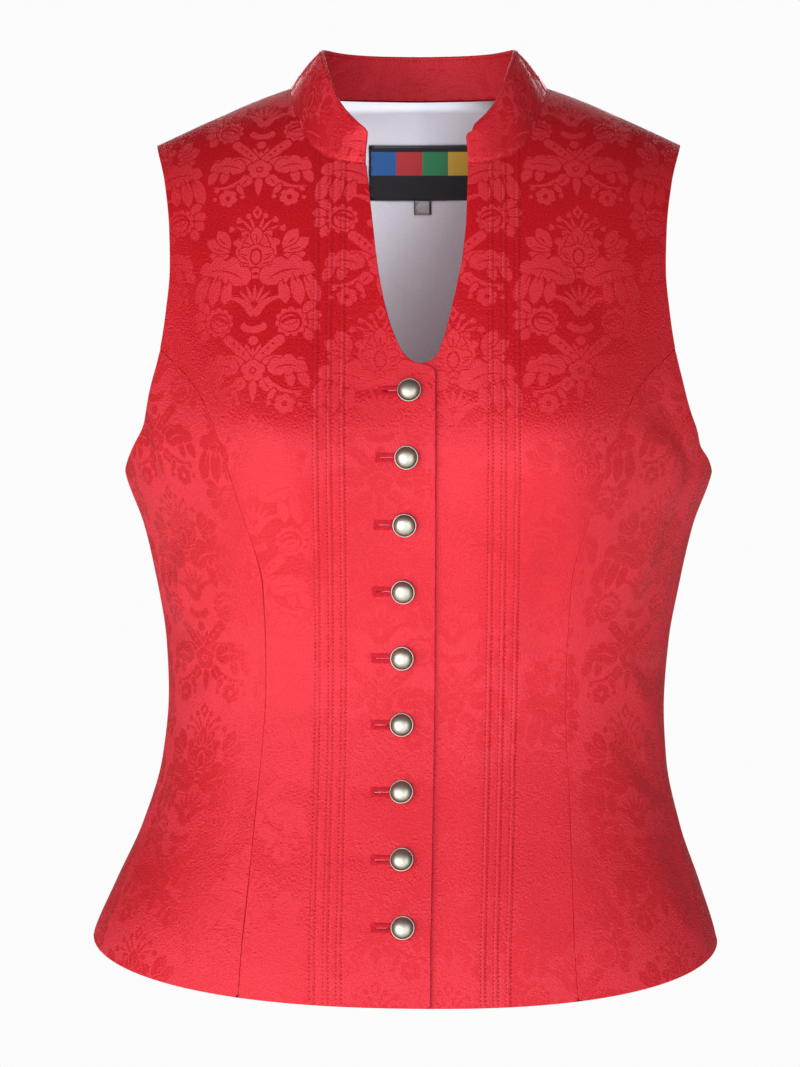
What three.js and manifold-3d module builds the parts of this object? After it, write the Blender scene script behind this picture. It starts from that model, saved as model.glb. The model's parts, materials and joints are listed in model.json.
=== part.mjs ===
// A women's dirndl bodice in damask, filled out as it is worn.
//
// Millimetres, +Z up. The front faces -Y and the wearer's left is +X. The origin lies midway between the two
// points where the shoulder seams meet the collar, at the height where the cloth bears on the shoulders.
//
// Every panel is a wall laid on one form. A place on the form is (turn, z): turn is the angle round the body,
// 0 at the centre front, +90 degrees at the left side seam and 180 degrees at the centre back. Up to the
// underarm the form is a stack of rings; above it the same rings close over the shoulders as a cap.

import * as THREE from "three";
import { mergeVertices } from "three/addons/utils/BufferGeometryUtils.js";
import Module from "manifold-3d";

// ---- Driving dimensions ----------------------------------------------------------------------------------

const CLOTH = 1.6; // damask with its interlining and turnings
const LINING = 1.0; // white cotton lining
const COLLAR_WALL = 2.2; // two layers of damask and a stiffener
const SEAM_GAP = 0.3; // between any two pieces
const LINING_GAP = 0.5; // the lining hangs a little clear

// The form's rings: half the width at the side seams, and the depth in front and behind.
const RINGS = [
  { z: -560, width: 196, front: 127, back: 134 },
  { z: -515, width: 189, front: 122, back: 128 },
  { z: -480, width: 176.5, front: 116, back: 118 },
  { z: -445, width: 162.5, front: 109, back: 106 },
  { z: -405, width: 152.5, front: 102, back: 94 },
  { z: -370, width: 150, front: 99, back: 89 },
  { z: -335, width: 152, front: 101, back: 92 },
  { z: -300, width: 158, front: 106, back: 98 },
  { z: -265, width: 166, front: 112, back: 102 },
  { z: -233, width: 177.5, front: 117, back: 106 },
  { z: -205, width: 182, front: 119, back: 109 },
  { z: -175, width: 183, front: 119, back: 110 },
];
const ROUND_FRONT = 2.3; // superellipse powers of the rings: 2 is an ellipse
const ROUND_BACK = 2.4;
const SIDE_Y = 4; // the side seam's place, front to back
const BUST = { x: 84, z: -228, rise: 21, across: 60, above: 84, below: 62 };
const SWING = { hem: 8, from: -270, over: 240, middle: 0.25, tilt: 0.01 }; // the hem hangs a little to one side

const UNDERARM_Z = -233; // the lowest point of the armhole, where the cap starts
const CAP_FRONT = 1.8; // superellipse powers of the cap, front and back
const CAP_BACK = 2.6;
const RIDGE_Y = 8; // the shoulder seam's place, front to back
const SHOULDER = [
  { x: 0, z: 22 },
  { x: 40, z: 14 },
  { x: 78, z: 0.4 },
  { x: 97, z: -6.5 },
  { x: 125, z: -18.6 },
  { x: 159, z: -34.2 },
];
const SHOULDER_TIP_X = 159;
const NECK_X = 78; // where the shoulder seam meets the collar

const HEM_SIDE_Z = -513.5;
const HEM_DIP = { front: 34, back: 9, soft: 0.12 };

// Seams and edges, for one side: z up the body, x out from the centre.
const FRONT_SEAM = [
  { z: -560, x: 100 },
  { z: -500, x: 96 },
  { z: -435, x: 92 },
  { z: -360, x: 88 },
  { z: -303, x: 90 },
  { z: -248, x: 105 },
  { z: -216, x: 115 },
  { z: -198, x: 122 },
  { z: -180, x: 133 },
  { z: -161, x: 152 },
];
const BACK_SEAM = [
  { z: -560, x: 92 },
  { z: -500, x: 86 },
  { z: -435, x: 76 },
  { z: -370, x: 68 },
  { z: -300, x: 74 },
  { z: -248, x: 86 },
  { z: -205, x: 103 },
  { z: -175, x: 124 },
  { z: -150, x: 151 },
];
const ARMHOLE_FRONT = [
  { z: -233, x: 177.5 },
  { z: -226, x: 174 },
  { z: -215, x: 168 },
  { z: -200, x: 162 },
  { z: -180, x: 156.5 },
  { z: -161, x: 152 },
  { z: -140, x: 149 },
  { z: -115, x: 147 },
  { z: -90, x: 148 },
  { z: -60, x: 152 },
  { z: -34.2, x: 159 },
];
const ARMHOLE_BACK = [
  { z: -233, x: 177.5 },
  { z: -226, x: 174 },
  { z: -210, x: 166 },
  { z: -180, x: 156 },
  { z: -150, x: 151 },
  { z: -115, x: 149.5 },
  { z: -80, x: 151 },
  { z: -34.2, x: 159 },
];
const NECK_FRONT = [
  { x: 30, z: -53 },
  { x: 42, z: -51.5 },
  { x: 55, z: -47 },
  { x: 62, z: -41 },
  { x: 67, z: -33.5 },
  { x: 72, z: -22 },
  { x: 76, z: -8 },
  { x: 78, z: 0.3 },
];
const NECK_BACK_Z = -0.4; // the back neck seam is level

// The edges of the open neck, from the overlap up to the collar.
const NECK_OPENING = [
  { z: -175, right: -11, left: -9 },
  { z: -173, right: -7.5, left: -4 },
  { z: -171, right: 0, left: 3 },
  { z: -168, right: 5.5, left: 10 },
  { z: -157, right: 12, left: 15 },
  { z: -145, right: 16.2, left: 18.6 },
  { z: -130, right: 20, left: 22 },
  { z: -110, right: 23.4, left: 26.2 },
  { z: -88, right: 26, left: 28.6 },
  { z: -53, right: 30, left: 30 },
];
const OVERLAP = { top: 11, hem: 10.2 }; // how far the right front's edge passes the centre
const UNDERLAP = 20; // how far the left front reaches under it
const UNDERLAP_EASE = { from: 13, over: 26 }; // where it comes up again
const UNDERLAP_DEPTH = CLOTH + 0.6;

const TUCK_X = [43.2, 50.9, 58.8]; // pin tucks on each front, at the neck
const TUCK_TAPER = 0.035; // they close in a little towards the hem
const TUCK_WIDE = 3;
const TUCK_HIGH = 0.9;

// Where the cross rows of the panels lie, from the hem up: at the front seam or armhole, at the front edge
// or neck opening, and at the back seam or armhole.
const HEM = NaN; // stands for the hem's own height
const ROWS = [
  { side: HEM, centre: HEM, back: HEM },
  { side: -498, centre: -502, back: -496 },
  { side: -455, centre: -456, back: -454 },
  { side: -412, centre: -412, back: -412 },
  { side: -372, centre: -372, back: -371 },
  { side: -332, centre: -332, back: -330 },
  { side: -294, centre: -294, back: -291 },
  { side: -261, centre: -261, back: -256 },
  { side: -233, centre: -234, back: -225 },
  { side: -209, centre: -209, back: -199 },
  { side: -191, centre: -189, back: -179 },
  { side: -178, centre: -175, back: -164 },
  { side: -169, centre: -173, back: -157 },
  { side: -161, centre: -171, back: -150 },
  { side: -151, centre: -168, back: -138 },
  { side: -137, centre: -157, back: -122 },
  { side: -119, centre: -145, back: -104 },
  { side: -98, centre: -130, back: -84 },
  { side: -76, centre: -110, back: -64 },
  { side: -55, centre: -85, back: -48 },
  { side: -41, centre: -64, back: -39.5 },
  { side: -34.4, centre: -53, back: -34.4 },
];
const JUNCTION = 13; // the row where the front and back seams meet the armhole
const CAP_ROW = 11; // the row from which the front's columns turn towards the neck and shoulder

// Columns of the fronts: inside the tucks, at their place below the neck and their share of the way from the
// neck opening above it; outside them, at their share of the way to the seam, and where each ends at the top.
const INNER_COLUMNS = [
  { x: 0, share: 0.3 },
  { x: 14, share: 0.55 },
  { x: 28, share: 0.78 },
];
const FRONT_COLUMNS = [
  { share: 0.13, top: 66 },
  { share: 0.27, top: 72 },
  { share: 0.4, top: 76 },
  { share: 0.5, top: NECK_X },
  { share: 0.68, top: 105 },
  { share: 0.84, top: 132 },
  { share: 1, top: SHOULDER_TIP_X },
];
const BACK_COLUMNS = [
  { share: 0, top: 0 },
  { share: 0.16, top: 27 },
  { share: 0.32, top: 50 },
  { share: 0.45, top: 66 },
  { share: 0.55, top: 74 },
  { share: 0.62, top: 77.3 },
  { share: 0.68, top: NECK_X },
  { share: 0.79, top: 105 },
  { share: 0.9, top: 132 },
  { share: 1, top: SHOULDER_TIP_X },
];
const SIDE_COLUMNS = [0, 0.18, 0.38, 0.6, 0.81, 1];

// The collar's upper edge over stations of its seam: `seam` is the seam's x there, on the front or the back.
const COLLAR_FRONT = [
  { seam: 30, x: 28.5, y: -70, z: -33 },
  { seam: 42, x: 37, y: -64.5, z: -25 },
  { seam: 52, x: 45.5, y: -55.5, z: -15 },
  { seam: 59.4, x: 49.5, y: -49, z: -7 },
  { seam: 67, x: 53.5, y: -38, z: 4 },
  { seam: 73, x: 56.5, y: -23, z: 15 },
  { seam: 78, x: 58.5, y: 3, z: 25 },
];
const COLLAR_BACK = [
  { seam: 78, x: 58.5, y: 3, z: 25 },
  { seam: 77.3, x: 57.5, y: 16, z: 26 },
  { seam: 74, x: 54, y: 30, z: 26 },
  { seam: 66, x: 46.5, y: 41, z: 25.8 },
  { seam: 50, x: 35, y: 50, z: 25.6 },
  { seam: 27, x: 18.5, y: 56, z: 25.5 },
  { seam: 0, x: 0, y: 58, z: 25.5 },
];
const COLLAR_RISE = [0, 0.33, 0.67, 1]; // rows up the collar
const COLLAR_BOW = 1.2; // how far its middle stands out

const BUTTON = { count: 9, top: -187.5, pitch: 38.8 };
const BUTTON_LINE = { top: -4.2, hem: -6, bow: 3.2 };
const BUTTON_CAP = { radius: 7, rim: 1.1, dome: 4.6 };
const SHANK_RADIUS = 1.2;
const BUTTONHOLE = { long: 16, slit: 1.2, eyelet: 1.6 };

const LABEL = { x: 2, wide: 68, high: 34, top: -26, thick: 0.6 };
const SIZE_TAB = { wide: 11, high: 8.5, thick: 0.6 };

// ---- Small mathematics -----------------------------------------------------------------------------------

const lerp = (a, b, t) => a + (b - a) * t;
const clamp = (v, lo, hi) => Math.min(hi, Math.max(lo, v));
const smooth = (t) => t * t * (3 - 2 * t);
const column = (rows, key) => rows.map((r) => r[key]);

// A smooth curve through a table's rows that never overshoots them.
function curve(keys, values) {
  const steps = keys.slice(1).map((k, i) => (values[i + 1] - values[i]) / (k - keys[i]));
  const slopes = keys.map((_, i) => {
    if (i === 0) return steps[0];
    if (i === keys.length - 1) return steps[steps.length - 1];
    const [a, b] = [steps[i - 1], steps[i]];
    return a * b <= 0 ? 0 : (2 * a * b) / (a + b);
  });
  return (at) => {
    const k = clamp(at, keys[0], keys[keys.length - 1]);
    let i = 0;
    while (i < keys.length - 2 && k > keys[i + 1]) i++;
    const h = keys[i + 1] - keys[i];
    const t = (k - keys[i]) / h;
    const value = lerp(values[i], values[i + 1], t * t * (3 - 2 * t));
    return value + h * t * (1 - t) * (slopes[i] * (1 - t) - slopes[i + 1] * t);
  };
}
const along = (rows, from, to) => curve(column(rows, from), column(rows, to));

// ---- The form --------------------------------------------------------------------------------------------

const ringWidth = along(RINGS, "z", "width");
const ringFront = along(RINGS, "z", "front");
const ringBack = along(RINGS, "z", "back");

const shoulderZ = along(SHOULDER, "x", "z");
const ridge = (x) => shoulderZ(Math.abs(x));

// The fullness that the front seams give over the bust, bridged at the middle.
function bustRise(x, z) {
  const dz = (z - BUST.z) / (z > BUST.z ? BUST.above : BUST.below);
  const bump = (at) => Math.exp(-(((x - at) / BUST.across) ** 2));
  return BUST.rise * (bump(BUST.x) + bump(-BUST.x)) * Math.exp(-dz * dz);
}

function form(turn, z) {
  const ahead = Math.cos(turn);
  const front = ahead >= 0;
  const power = 2 / (front ? ROUND_FRONT : ROUND_BACK);
  const x = Math.sign(Math.sin(turn)) * ringWidth(z) * Math.abs(Math.sin(turn)) ** power;
  const depth = Math.abs(ahead) ** power;
  let y = front ? lerp(SIDE_Y, -ringFront(z), depth) : lerp(SIDE_Y, ringBack(z), depth);
  if (z > UNDERARM_Z) {
    const up = clamp((z - UNDERARM_Z) / (ridge(x) - UNDERARM_Z), 0, 1);
    const cap = front ? CAP_FRONT : CAP_BACK;
    y = RIDGE_Y + (y - RIDGE_Y) * (1 - up ** cap) ** (1 / cap);
  }
  if (front) y -= bustRise(x, z) * Math.min(1, depth * 1.6);
  return new THREE.Vector3(x, y, z);
}

// The direction out of the form. On the shoulder line it is square to that line, for front and back alike.
function outward(turn, z) {
  const x = form(turn, z).x;
  if (z > ridge(x) - 0.5) {
    const fall = ridge(x + 0.5) - ridge(x - 0.5);
    return new THREE.Vector3(-fall, 0, 1).normalize();
  }
  const step = 0.002;
  const round = form(turn + step, z).sub(form(turn - step, z));
  const up = form(turn, z + 0.3).sub(form(turn, z - 0.3));
  return round.cross(up).normalize();
}

// The turn at which the form is x wide of the centre, in front or behind.
function turnAt(x, z, back = false) {
  const share = clamp(Math.abs(x) / ringWidth(z), 0, 1);
  const angle = Math.asin(share ** ((back ? ROUND_BACK : ROUND_FRONT) / 2));
  return Math.sign(x || 1) * (back ? Math.PI - angle : angle);
}

function hemHeight(turn) {
  const ahead = Math.cos(turn);
  const soft = HEM_DIP.soft;
  const dip = ahead >= 0 ? HEM_DIP.front : HEM_DIP.back;
  return HEM_SIDE_Z - dip * (Math.hypot(ahead, soft) - soft);
}

// The hem's height where a seam at seamX(z) reaches it.
function hemAt(seamX, back = false) {
  let z = HEM_SIDE_Z;
  for (let i = 0; i < 6; i++) z = hemHeight(turnAt(seamX(z), z, back));
  return z;
}

// ---- Walls -----------------------------------------------------------------------------------------------

// A closed wall from a grid of places, each an outer point and the way out. Columns run to the wearer's left
// as seen from outside, rows run up.
function wall(grid, thick, lift = 0) {
  const rows = grid.length;
  const cols = grid[0].length;
  const points = [];
  const lay = (drop) =>
    grid.forEach((row) => row.forEach((p) => points.push(p.at.clone().addScaledVector(p.out, lift - drop))));
  lay(0);
  lay(thick);
  const id = (side, r, c) => side * rows * cols + r * cols + c;
  const faces = [];
  const quad = (a, b, c, d) => faces.push(a, b, c, a, c, d);
  for (let r = 0; r < rows - 1; r++) {
    for (let c = 0; c < cols - 1; c++) {
      quad(id(0, r, c), id(0, r, c + 1), id(0, r + 1, c + 1), id(0, r + 1, c));
      quad(id(1, r, c), id(1, r + 1, c), id(1, r + 1, c + 1), id(1, r, c + 1));
    }
    quad(id(0, r, 0), id(0, r + 1, 0), id(1, r + 1, 0), id(1, r, 0));
    quad(id(0, r, cols - 1), id(1, r, cols - 1), id(1, r + 1, cols - 1), id(0, r + 1, cols - 1));
  }
  for (let c = 0; c < cols - 1; c++) {
    quad(id(0, 0, c), id(1, 0, c), id(1, 0, c + 1), id(0, 0, c + 1));
    quad(id(0, rows - 1, c), id(0, rows - 1, c + 1), id(1, rows - 1, c + 1), id(1, rows - 1, c));
  }
  const geometry = new THREE.BufferGeometry();
  const flat = new Float32Array(points.flatMap((p) => [p.x, p.y, p.z]));
  geometry.setAttribute("position", new THREE.BufferAttribute(flat, 3));
  geometry.setIndex(faces);
  return geometry;
}

// Draws a grid's edges back by half a seam gap, square to the seam. edges names those that meet a neighbour.
function drawnBack(grid, edges) {
  const [top, last] = [grid.length - 1, grid[0].length - 1];
  const moves = [];
  const draw = (p, from, to, inner) => {
    const move = to.at.clone().sub(from.at).cross(p.out).setLength(SEAM_GAP / 2);
    moves.push([p, move.dot(inner.at.clone().sub(p.at)) < 0 ? move.negate() : move]);
  };
  grid.forEach((row, r) => {
    const [below, above] = [grid[Math.max(r - 1, 0)], grid[Math.min(r + 1, top)]];
    if (edges.includes("first")) draw(row[0], below[0], above[0], row[1]);
    if (edges.includes("last")) draw(row[last], below[last], above[last], row[last - 1]);
  });
  if (edges.includes("top")) {
    const row = grid[top];
    row.forEach((p, c) => draw(p, row[Math.max(c - 1, 0)], row[Math.min(c + 1, last)], grid[top - 1][c]));
  }
  moves.forEach(([p, move]) => p.at.add(move));
  return grid;
}

const place = (turn, z) => ({ turn, z, at: form(turn, z), out: outward(turn, z) });
const mirrored = (p) => ({
  turn: -p.turn,
  z: p.z,
  at: new THREE.Vector3(-p.at.x, p.at.y, p.at.z),
  out: new THREE.Vector3(-p.out.x, p.out.y, p.out.z),
});
const mirrorGrid = (grid) => grid.map((row) => row.map(mirrored).reverse());
const copyGrid = (grid) =>
  grid.map((row) => row.map((p) => ({ ...p, at: p.at.clone(), out: p.out.clone() })));

// ---- Panels, drawn for the wearer's left (+X) -----------------------------------------------------------

const frontSeamX = along(FRONT_SEAM, "z", "x");
const backSeamX = along(BACK_SEAM, "z", "x");
const armFrontX = along(ARMHOLE_FRONT, "z", "x");
const armBackX = along(ARMHOLE_BACK, "z", "x");
const neckFrontZ = along(NECK_FRONT, "x", "z");
const frontTopZ = (x) => (x < NECK_X ? neckFrontZ(x) : ridge(x));
const backTopZ = (x) => (x < NECK_X - 0.01 ? NECK_BACK_Z : ridge(x));
const junctionZ = { front: ROWS[JUNCTION].side, back: ROWS[JUNCTION].back };

// A row's height at the named edge, with the hem's own height in the first row.
const rowZ = (row, key, hem) => (Number.isNaN(row[key]) ? hem : row[key]);

// One front. edgeX(z) is its edge below the neck opening, openX(z) its edge beside it.
function frontGrid(edgeX, openX) {
  const last = ROWS.length - 1;
  const top = ROWS[last];
  const hemSide = hemAt(frontSeamX);
  return ROWS.map((row, r) => {
    const zOut = rowZ(row, "side", hemSide);
    const zIn = rowZ(row, "centre", hemHeight(0));
    const xOut = r <= JUNCTION ? frontSeamX(zOut) : r === last ? SHOULDER_TIP_X : armFrontX(zOut);
    const xIn = r <= CAP_ROW ? edgeX(zIn) : openX(zIn);
    const closing = clamp((zIn - ROWS[CAP_ROW].centre) / (top.centre - ROWS[CAP_ROW].centre), 0, 1);
    const tucks = tuckColumns(zIn);
    const inner = INNER_COLUMNS.map((c) => (r <= CAP_ROW ? c.x : lerp(xIn, tucks[0], c.share)));
    const outer = FRONT_COLUMNS.map((c) => {
      const low = lerp(tucks[tucks.length - 1], xOut, c.share);
      const high = c.share === 1 ? xOut : c.top;
      return lerp(low, high, smooth(closing));
    });
    return [xIn, ...inner, ...tucks, ...outer].map((x) => {
      const share = (x - xIn) / (xOut - xIn);
      let z = lerp(zIn, zOut, share);
      z += smooth(closing) * (frontTopZ(Math.max(x, NECK_FRONT[0].x)) - lerp(top.centre, top.side, share));
      if (r === 0) z = hemHeight(turnAt(x, z));
      return place(turnAt(x, z), z);
    });
  });
}

// Both feet and the crest of each pin tuck, from the centre out.
function tuckColumns(z) {
  const down = clamp((z - NECK_FRONT[0].z) / (hemHeight(0) - NECK_FRONT[0].z), 0, 1);
  const narrow = 1 - TUCK_TAPER * down;
  return TUCK_X.flatMap((x) => [-0.5, 0, 0.5].map((side) => x * narrow + side * TUCK_WIDE));
}

// Raises the pin tucks' crests.
function tucked(grid) {
  const first = 1 + INNER_COLUMNS.length;
  grid.forEach((row) =>
    TUCK_X.forEach((_, i) => {
      const crest = row[first + 3 * i + 1];
      crest.at.addScaledVector(crest.out, TUCK_HIGH);
    }),
  );
  return grid;
}

// The whole centre back, seam to seam.
function backGrid() {
  const hemSide = hemAt(backSeamX, true);
  const half = ROWS.map((row, r) => {
    const zOut = rowZ(row, "back", hemSide);
    const last = r === ROWS.length - 1;
    const xOut = r <= JUNCTION ? backSeamX(zOut) : last ? SHOULDER_TIP_X : armBackX(zOut);
    const closing = clamp((zOut + 260) / (ROWS[ROWS.length - 1].back + 260), 0, 1);
    return BACK_COLUMNS.map((c) => {
      const high = c.share === 1 ? xOut : c.top;
      const x = lerp(c.share * xOut, high, smooth(closing));
      const line = ROWS[ROWS.length - 1].back;
      let z = zOut + smooth(closing) ** 3 * (backTopZ(x) - line);
      if (last) z = backTopZ(x);
      if (r === 0) z = hemHeight(turnAt(x, z, true));
      return place(turnAt(x || 1e-6, z, true), z);
    });
  });
  const mirror = half.map((row) => row.slice(1).map(mirrored));
  return half.map((row, r) => [...row.slice().reverse(), ...mirror[r]]);
}

// A side panel between a princess seam and the side seam, under the armhole.
function sideGrid(back) {
  const seamX = back ? backSeamX : frontSeamX;
  const armX = back ? armBackX : armFrontX;
  const key = back ? "back" : "side";
  const hemSeam = hemAt(seamX, back);
  const side = Math.PI / 2;
  const seamTurn = (z) => turnAt(seamX(z), z, back);
  const armTurn = (z) => (z <= UNDERARM_Z ? side : turnAt(armX(z), z, back));
  const topJunction = back ? junctionZ.back : junctionZ.front;
  const tops = SIDE_COLUMNS.map((share) => {
    let [low, high] = [UNDERARM_Z, topJunction];
    for (let i = 0; i < 40; i++) {
      const z = (low + high) / 2;
      const ahead = (lerp(seamTurn(z), side, share) - armTurn(z)) * (back ? -1 : 1);
      if (ahead < 0) low = z;
      else high = z;
    }
    return (low + high) / 2;
  });
  return ROWS.slice(0, JUNCTION + 1).map((row) => {
    const zSeam = rowZ(row, key, hemSeam);
    const rise = (zSeam - hemSeam) / (topJunction - hemSeam);
    return SIDE_COLUMNS.map((share, c) => {
      let z = zSeam;
      for (let i = 0; i < 4; i++) {
        const hem = hemHeight(lerp(seamTurn(z), side, share));
        z = lerp(hem, tops[c], rise);
      }
      return place(lerp(seamTurn(z), side, share), z);
    });
  });
}

// The left front passes under the right, and comes up again beside the overlap.
function underlapped(grid) {
  grid.forEach((row) =>
    row.forEach((p) => {
      const share = clamp((p.at.x - UNDERLAP_EASE.from) / UNDERLAP_EASE.over, 0, 1);
      p.at.addScaledVector(p.out, -UNDERLAP_DEPTH * (1 - smooth(share)));
    }),
  );
  return grid;
}

// ---- Collar ----------------------------------------------------------------------------------------------

function collarGrid(frontTop, backTop) {
  const edge = (rows) => {
    const ordered = rows.slice().sort((a, b) => a.seam - b.seam);
    const [x, y, z] = ["x", "y", "z"].map((k) => along(ordered, "seam", k));
    return (seam) => new THREE.Vector3(x(seam), y(seam), z(seam));
  };
  const [frontEdge, backEdge] = [edge(COLLAR_FRONT), edge(COLLAR_BACK)];
  const stations = [];
  frontTop
    .filter((p) => p.at.x <= NECK_X + 0.01)
    .forEach((p) => stations.push({ low: p.at.clone(), high: frontEdge(p.at.x) }));
  backTop
    .filter((p) => p.at.x < NECK_X - 0.01 && p.at.x >= -1e-3)
    .forEach((p) => stations.push({ low: p.at.clone(), high: backEdge(Math.max(0, p.at.x)) }));
  const flip = (v) => new THREE.Vector3(-v.x, v.y, v.z);
  const other = stations.slice(0, -1).reverse();
  const ring = [...stations, ...other.map((s) => ({ low: flip(s.low), high: flip(s.high) }))];
  const grid = COLLAR_RISE.map((rise, r) =>
    ring.map(({ low, high }) => {
      const start = r === 0 ? SEAM_GAP / low.distanceTo(high) : rise;
      return { at: low.clone().lerp(high, start), out: new THREE.Vector3() };
    }),
  );
  grid.forEach((row, r) =>
    row.forEach((p, c) => {
      const back = row[Math.max(0, c - 1)].at;
      const on = row[Math.min(row.length - 1, c + 1)].at;
      const up = grid[grid.length - 1][c].at.clone().sub(grid[0][c].at);
      p.out = on.clone().sub(back).cross(up).normalize();
      p.bow = COLLAR_BOW * 4 * COLLAR_RISE[r] * (1 - COLLAR_RISE[r]);
    }),
  );
  grid.forEach((row) => row.forEach((p) => p.at.addScaledVector(p.out, p.bow)));
  return grid;
}

// ---- Buttons, buttonholes, labels ------------------------------------------------------------------------

const downFront = (z) => (z - ROWS[CAP_ROW].centre) / (hemHeight(0) - ROWS[CAP_ROW].centre);
const rightEdge = (z) => -lerp(OVERLAP.top, OVERLAP.hem, downFront(z));
const leftEdge = () => -UNDERLAP;
const rightOpening = along(NECK_OPENING, "z", "right");
const leftOpening = along(NECK_OPENING, "z", "left");

// Where a line straight through the panel at (x, z) meets its outer facets.
function faceAt(grid, x, z) {
  for (let r = 0; r < grid.length - 1; r++) {
    for (let c = 0; c < grid[r].length - 1; c++) {
      const [a, b, d] = [grid[r][c].at, grid[r][c + 1].at, grid[r + 1][c].at];
      const opposite = grid[r + 1][c + 1].at;
      for (const corners of [[a, b, opposite], [a, opposite, d]]) {
        const [p, q, s] = corners;
        const det = (q.x - p.x) * (s.z - p.z) - (s.x - p.x) * (q.z - p.z);
        const u = ((x - p.x) * (s.z - p.z) - (s.x - p.x) * (z - p.z)) / det;
        const v = ((q.x - p.x) * (z - p.z) - (x - p.x) * (q.z - p.z)) / det;
        if (u < -1e-6 || v < -1e-6 || u + v > 1 + 1e-6) continue;
        const at = p.clone().addScaledVector(q.clone().sub(p), u).addScaledVector(s.clone().sub(p), v);
        const out = q.clone().sub(p).cross(s.clone().sub(p)).normalize();
        return { at, out };
      }
    }
  }
  throw new Error(`no cloth at ${x}, ${z}`);
}

function buttonX(z) {
  const t = (z - BUTTON.top) / (-BUTTON.pitch * (BUTTON.count - 1));
  return lerp(BUTTON_LINE.top, BUTTON_LINE.hem, t) - BUTTON_LINE.bow * 4 * t * (1 - t);
}

// A button's frame on the right front: its Z points out of the cloth, its X to the wearer's left.
function buttonFrame(grid, z) {
  const { at, out } = faceAt(grid, buttonX(z), z);
  const across = new THREE.Vector3(0, 0, 1).cross(out).normalize();
  const up = out.clone().cross(across).normalize();
  return new THREE.Matrix4().makeBasis(across, up, out).setPosition(at);
}

// The cloth's height over a button's frame, at its highest under a circle of the radius.
function clothUnder(grid, frame, radius) {
  const toFrame = frame.clone().invert();
  let highest = -Infinity;
  for (let i = 0; i < 12; i++) {
    const a = (i * Math.PI) / 6;
    const rim = new THREE.Vector3(radius * Math.cos(a), radius * Math.sin(a), 0).applyMatrix4(frame);
    const height = faceAt(grid, rim.x, rim.z).at.applyMatrix4(toFrame).z;
    highest = Math.max(highest, height);
  }
  return highest;
}

// A domed cap with a raised rim, and its shank down to the left front.
function buttonGeometry(seat, foot) {
  const { radius, rim, dome } = BUTTON_CAP;
  const profile = [
    [0, foot],
    [SHANK_RADIUS, foot],
    [SHANK_RADIUS, seat],
    [radius - 0.4, seat],
    [radius, seat + 0.4],
    [radius, seat + rim],
    [radius - 0.8, seat + rim + 0.3],
  ];
  const crown = radius - 1.2;
  for (const angle of [6, 24, 44, 66]) {
    const a = THREE.MathUtils.degToRad(angle);
    profile.push([crown * Math.cos(a), seat + rim + (dome - rim) * Math.sin(a)]);
  }
  profile.push([0, seat + dome]);
  const points = profile.map(([r, z]) => new THREE.Vector2(r, z));
  return new THREE.LatheGeometry(points, 14).rotateX(Math.PI / 2);
}

// A flat woven piece on the inside of the back lining.
function labelWall(panel, bottom, top, wide, thick) {
  const inside = CLOTH + LINING_GAP + LINING + 1.3 * SEAM_GAP;
  const grid = [bottom, (bottom + top) / 2, top].map((z) =>
    [1, 0.5, 0, -0.5, -1].map((side) => {
      const { at, out } = faceAt(panel, LABEL.x + (side * wide) / 2, z);
      return { at: at.addScaledVector(out, -inside), out };
    }),
  );
  return wall(grid, thick);
}

// ---- Solids ----------------------------------------------------------------------------------------------

const wasm = await Module();
wasm.setup();

function solid(geometry) {
  const bare = geometry.clone();
  bare.deleteAttribute("normal");
  bare.deleteAttribute("uv");
  const merged = mergeVertices(bare, 1e-4);
  return new wasm.Manifold(
    new wasm.Mesh({
      numProp: 3,
      vertProperties: merged.attributes.position.array,
      triVerts: new Uint32Array(merged.index.array),
    }),
  );
}

function geometryOf(manifold) {
  const mesh = manifold.getMesh();
  const geometry = new THREE.BufferGeometry();
  geometry.setAttribute("position", new THREE.BufferAttribute(mesh.vertProperties, 3));
  geometry.setIndex(new THREE.BufferAttribute(mesh.triVerts, 1));
  return geometry;
}

// ---- Assembly --------------------------------------------------------------------------------------------

const damask = new THREE.MeshStandardMaterial({ color: 0xd8202e, roughness: 0.45 });
const cotton = new THREE.MeshStandardMaterial({ color: 0xe9e8ef, roughness: 0.85 });
const pewter = new THREE.MeshStandardMaterial({ color: 0xb9b4a6, roughness: 0.35, metalness: 0.9 });
const woven = new THREE.MeshStandardMaterial({ color: 0x1d1f26, roughness: 0.7 });
const tape = new THREE.MeshStandardMaterial({ color: 0xa9abb0, roughness: 0.7 });

// How far the cloth swings to the wearer's right, more at the side seams than at the middle, and rises there.
function swing({ x, z }) {
  const down = clamp((SWING.from - z) / SWING.over, 0, 1) ** 2;
  const share = lerp(SWING.middle, 1, Math.min(1, Math.abs(x) / ringWidth(z)));
  return new THREE.Vector3(-SWING.hem * down * share, 0, -SWING.tilt * down * x);
}

const bodice = new THREE.Group();
function add(name, geometry, material) {
  const mesh = new THREE.Mesh(geometry, material);
  mesh.name = name;
  bodice.add(mesh);
  return mesh;
}
function addCloth(name, geometry, material) {
  const points = geometry.attributes.position;
  for (let i = 0; i < points.count; i++) {
    const p = new THREE.Vector3().fromBufferAttribute(points, i);
    points.setXYZ(i, ...p.add(swing(p)));
  }
  return add(name, geometry, material);
}

const leftFront = tucked(drawnBack(frontGrid(leftEdge, leftOpening), ["last", "top"]));
const rightFront = mirrorGrid(tucked(drawnBack(frontGrid(rightEdge, rightOpening), ["last", "top"])));
const underFront = underlapped(copyGrid(leftFront));
const frames = Array.from({ length: BUTTON.count }, (_, i) => {
  return buttonFrame(rightFront, BUTTON.top - i * BUTTON.pitch);
});

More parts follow.
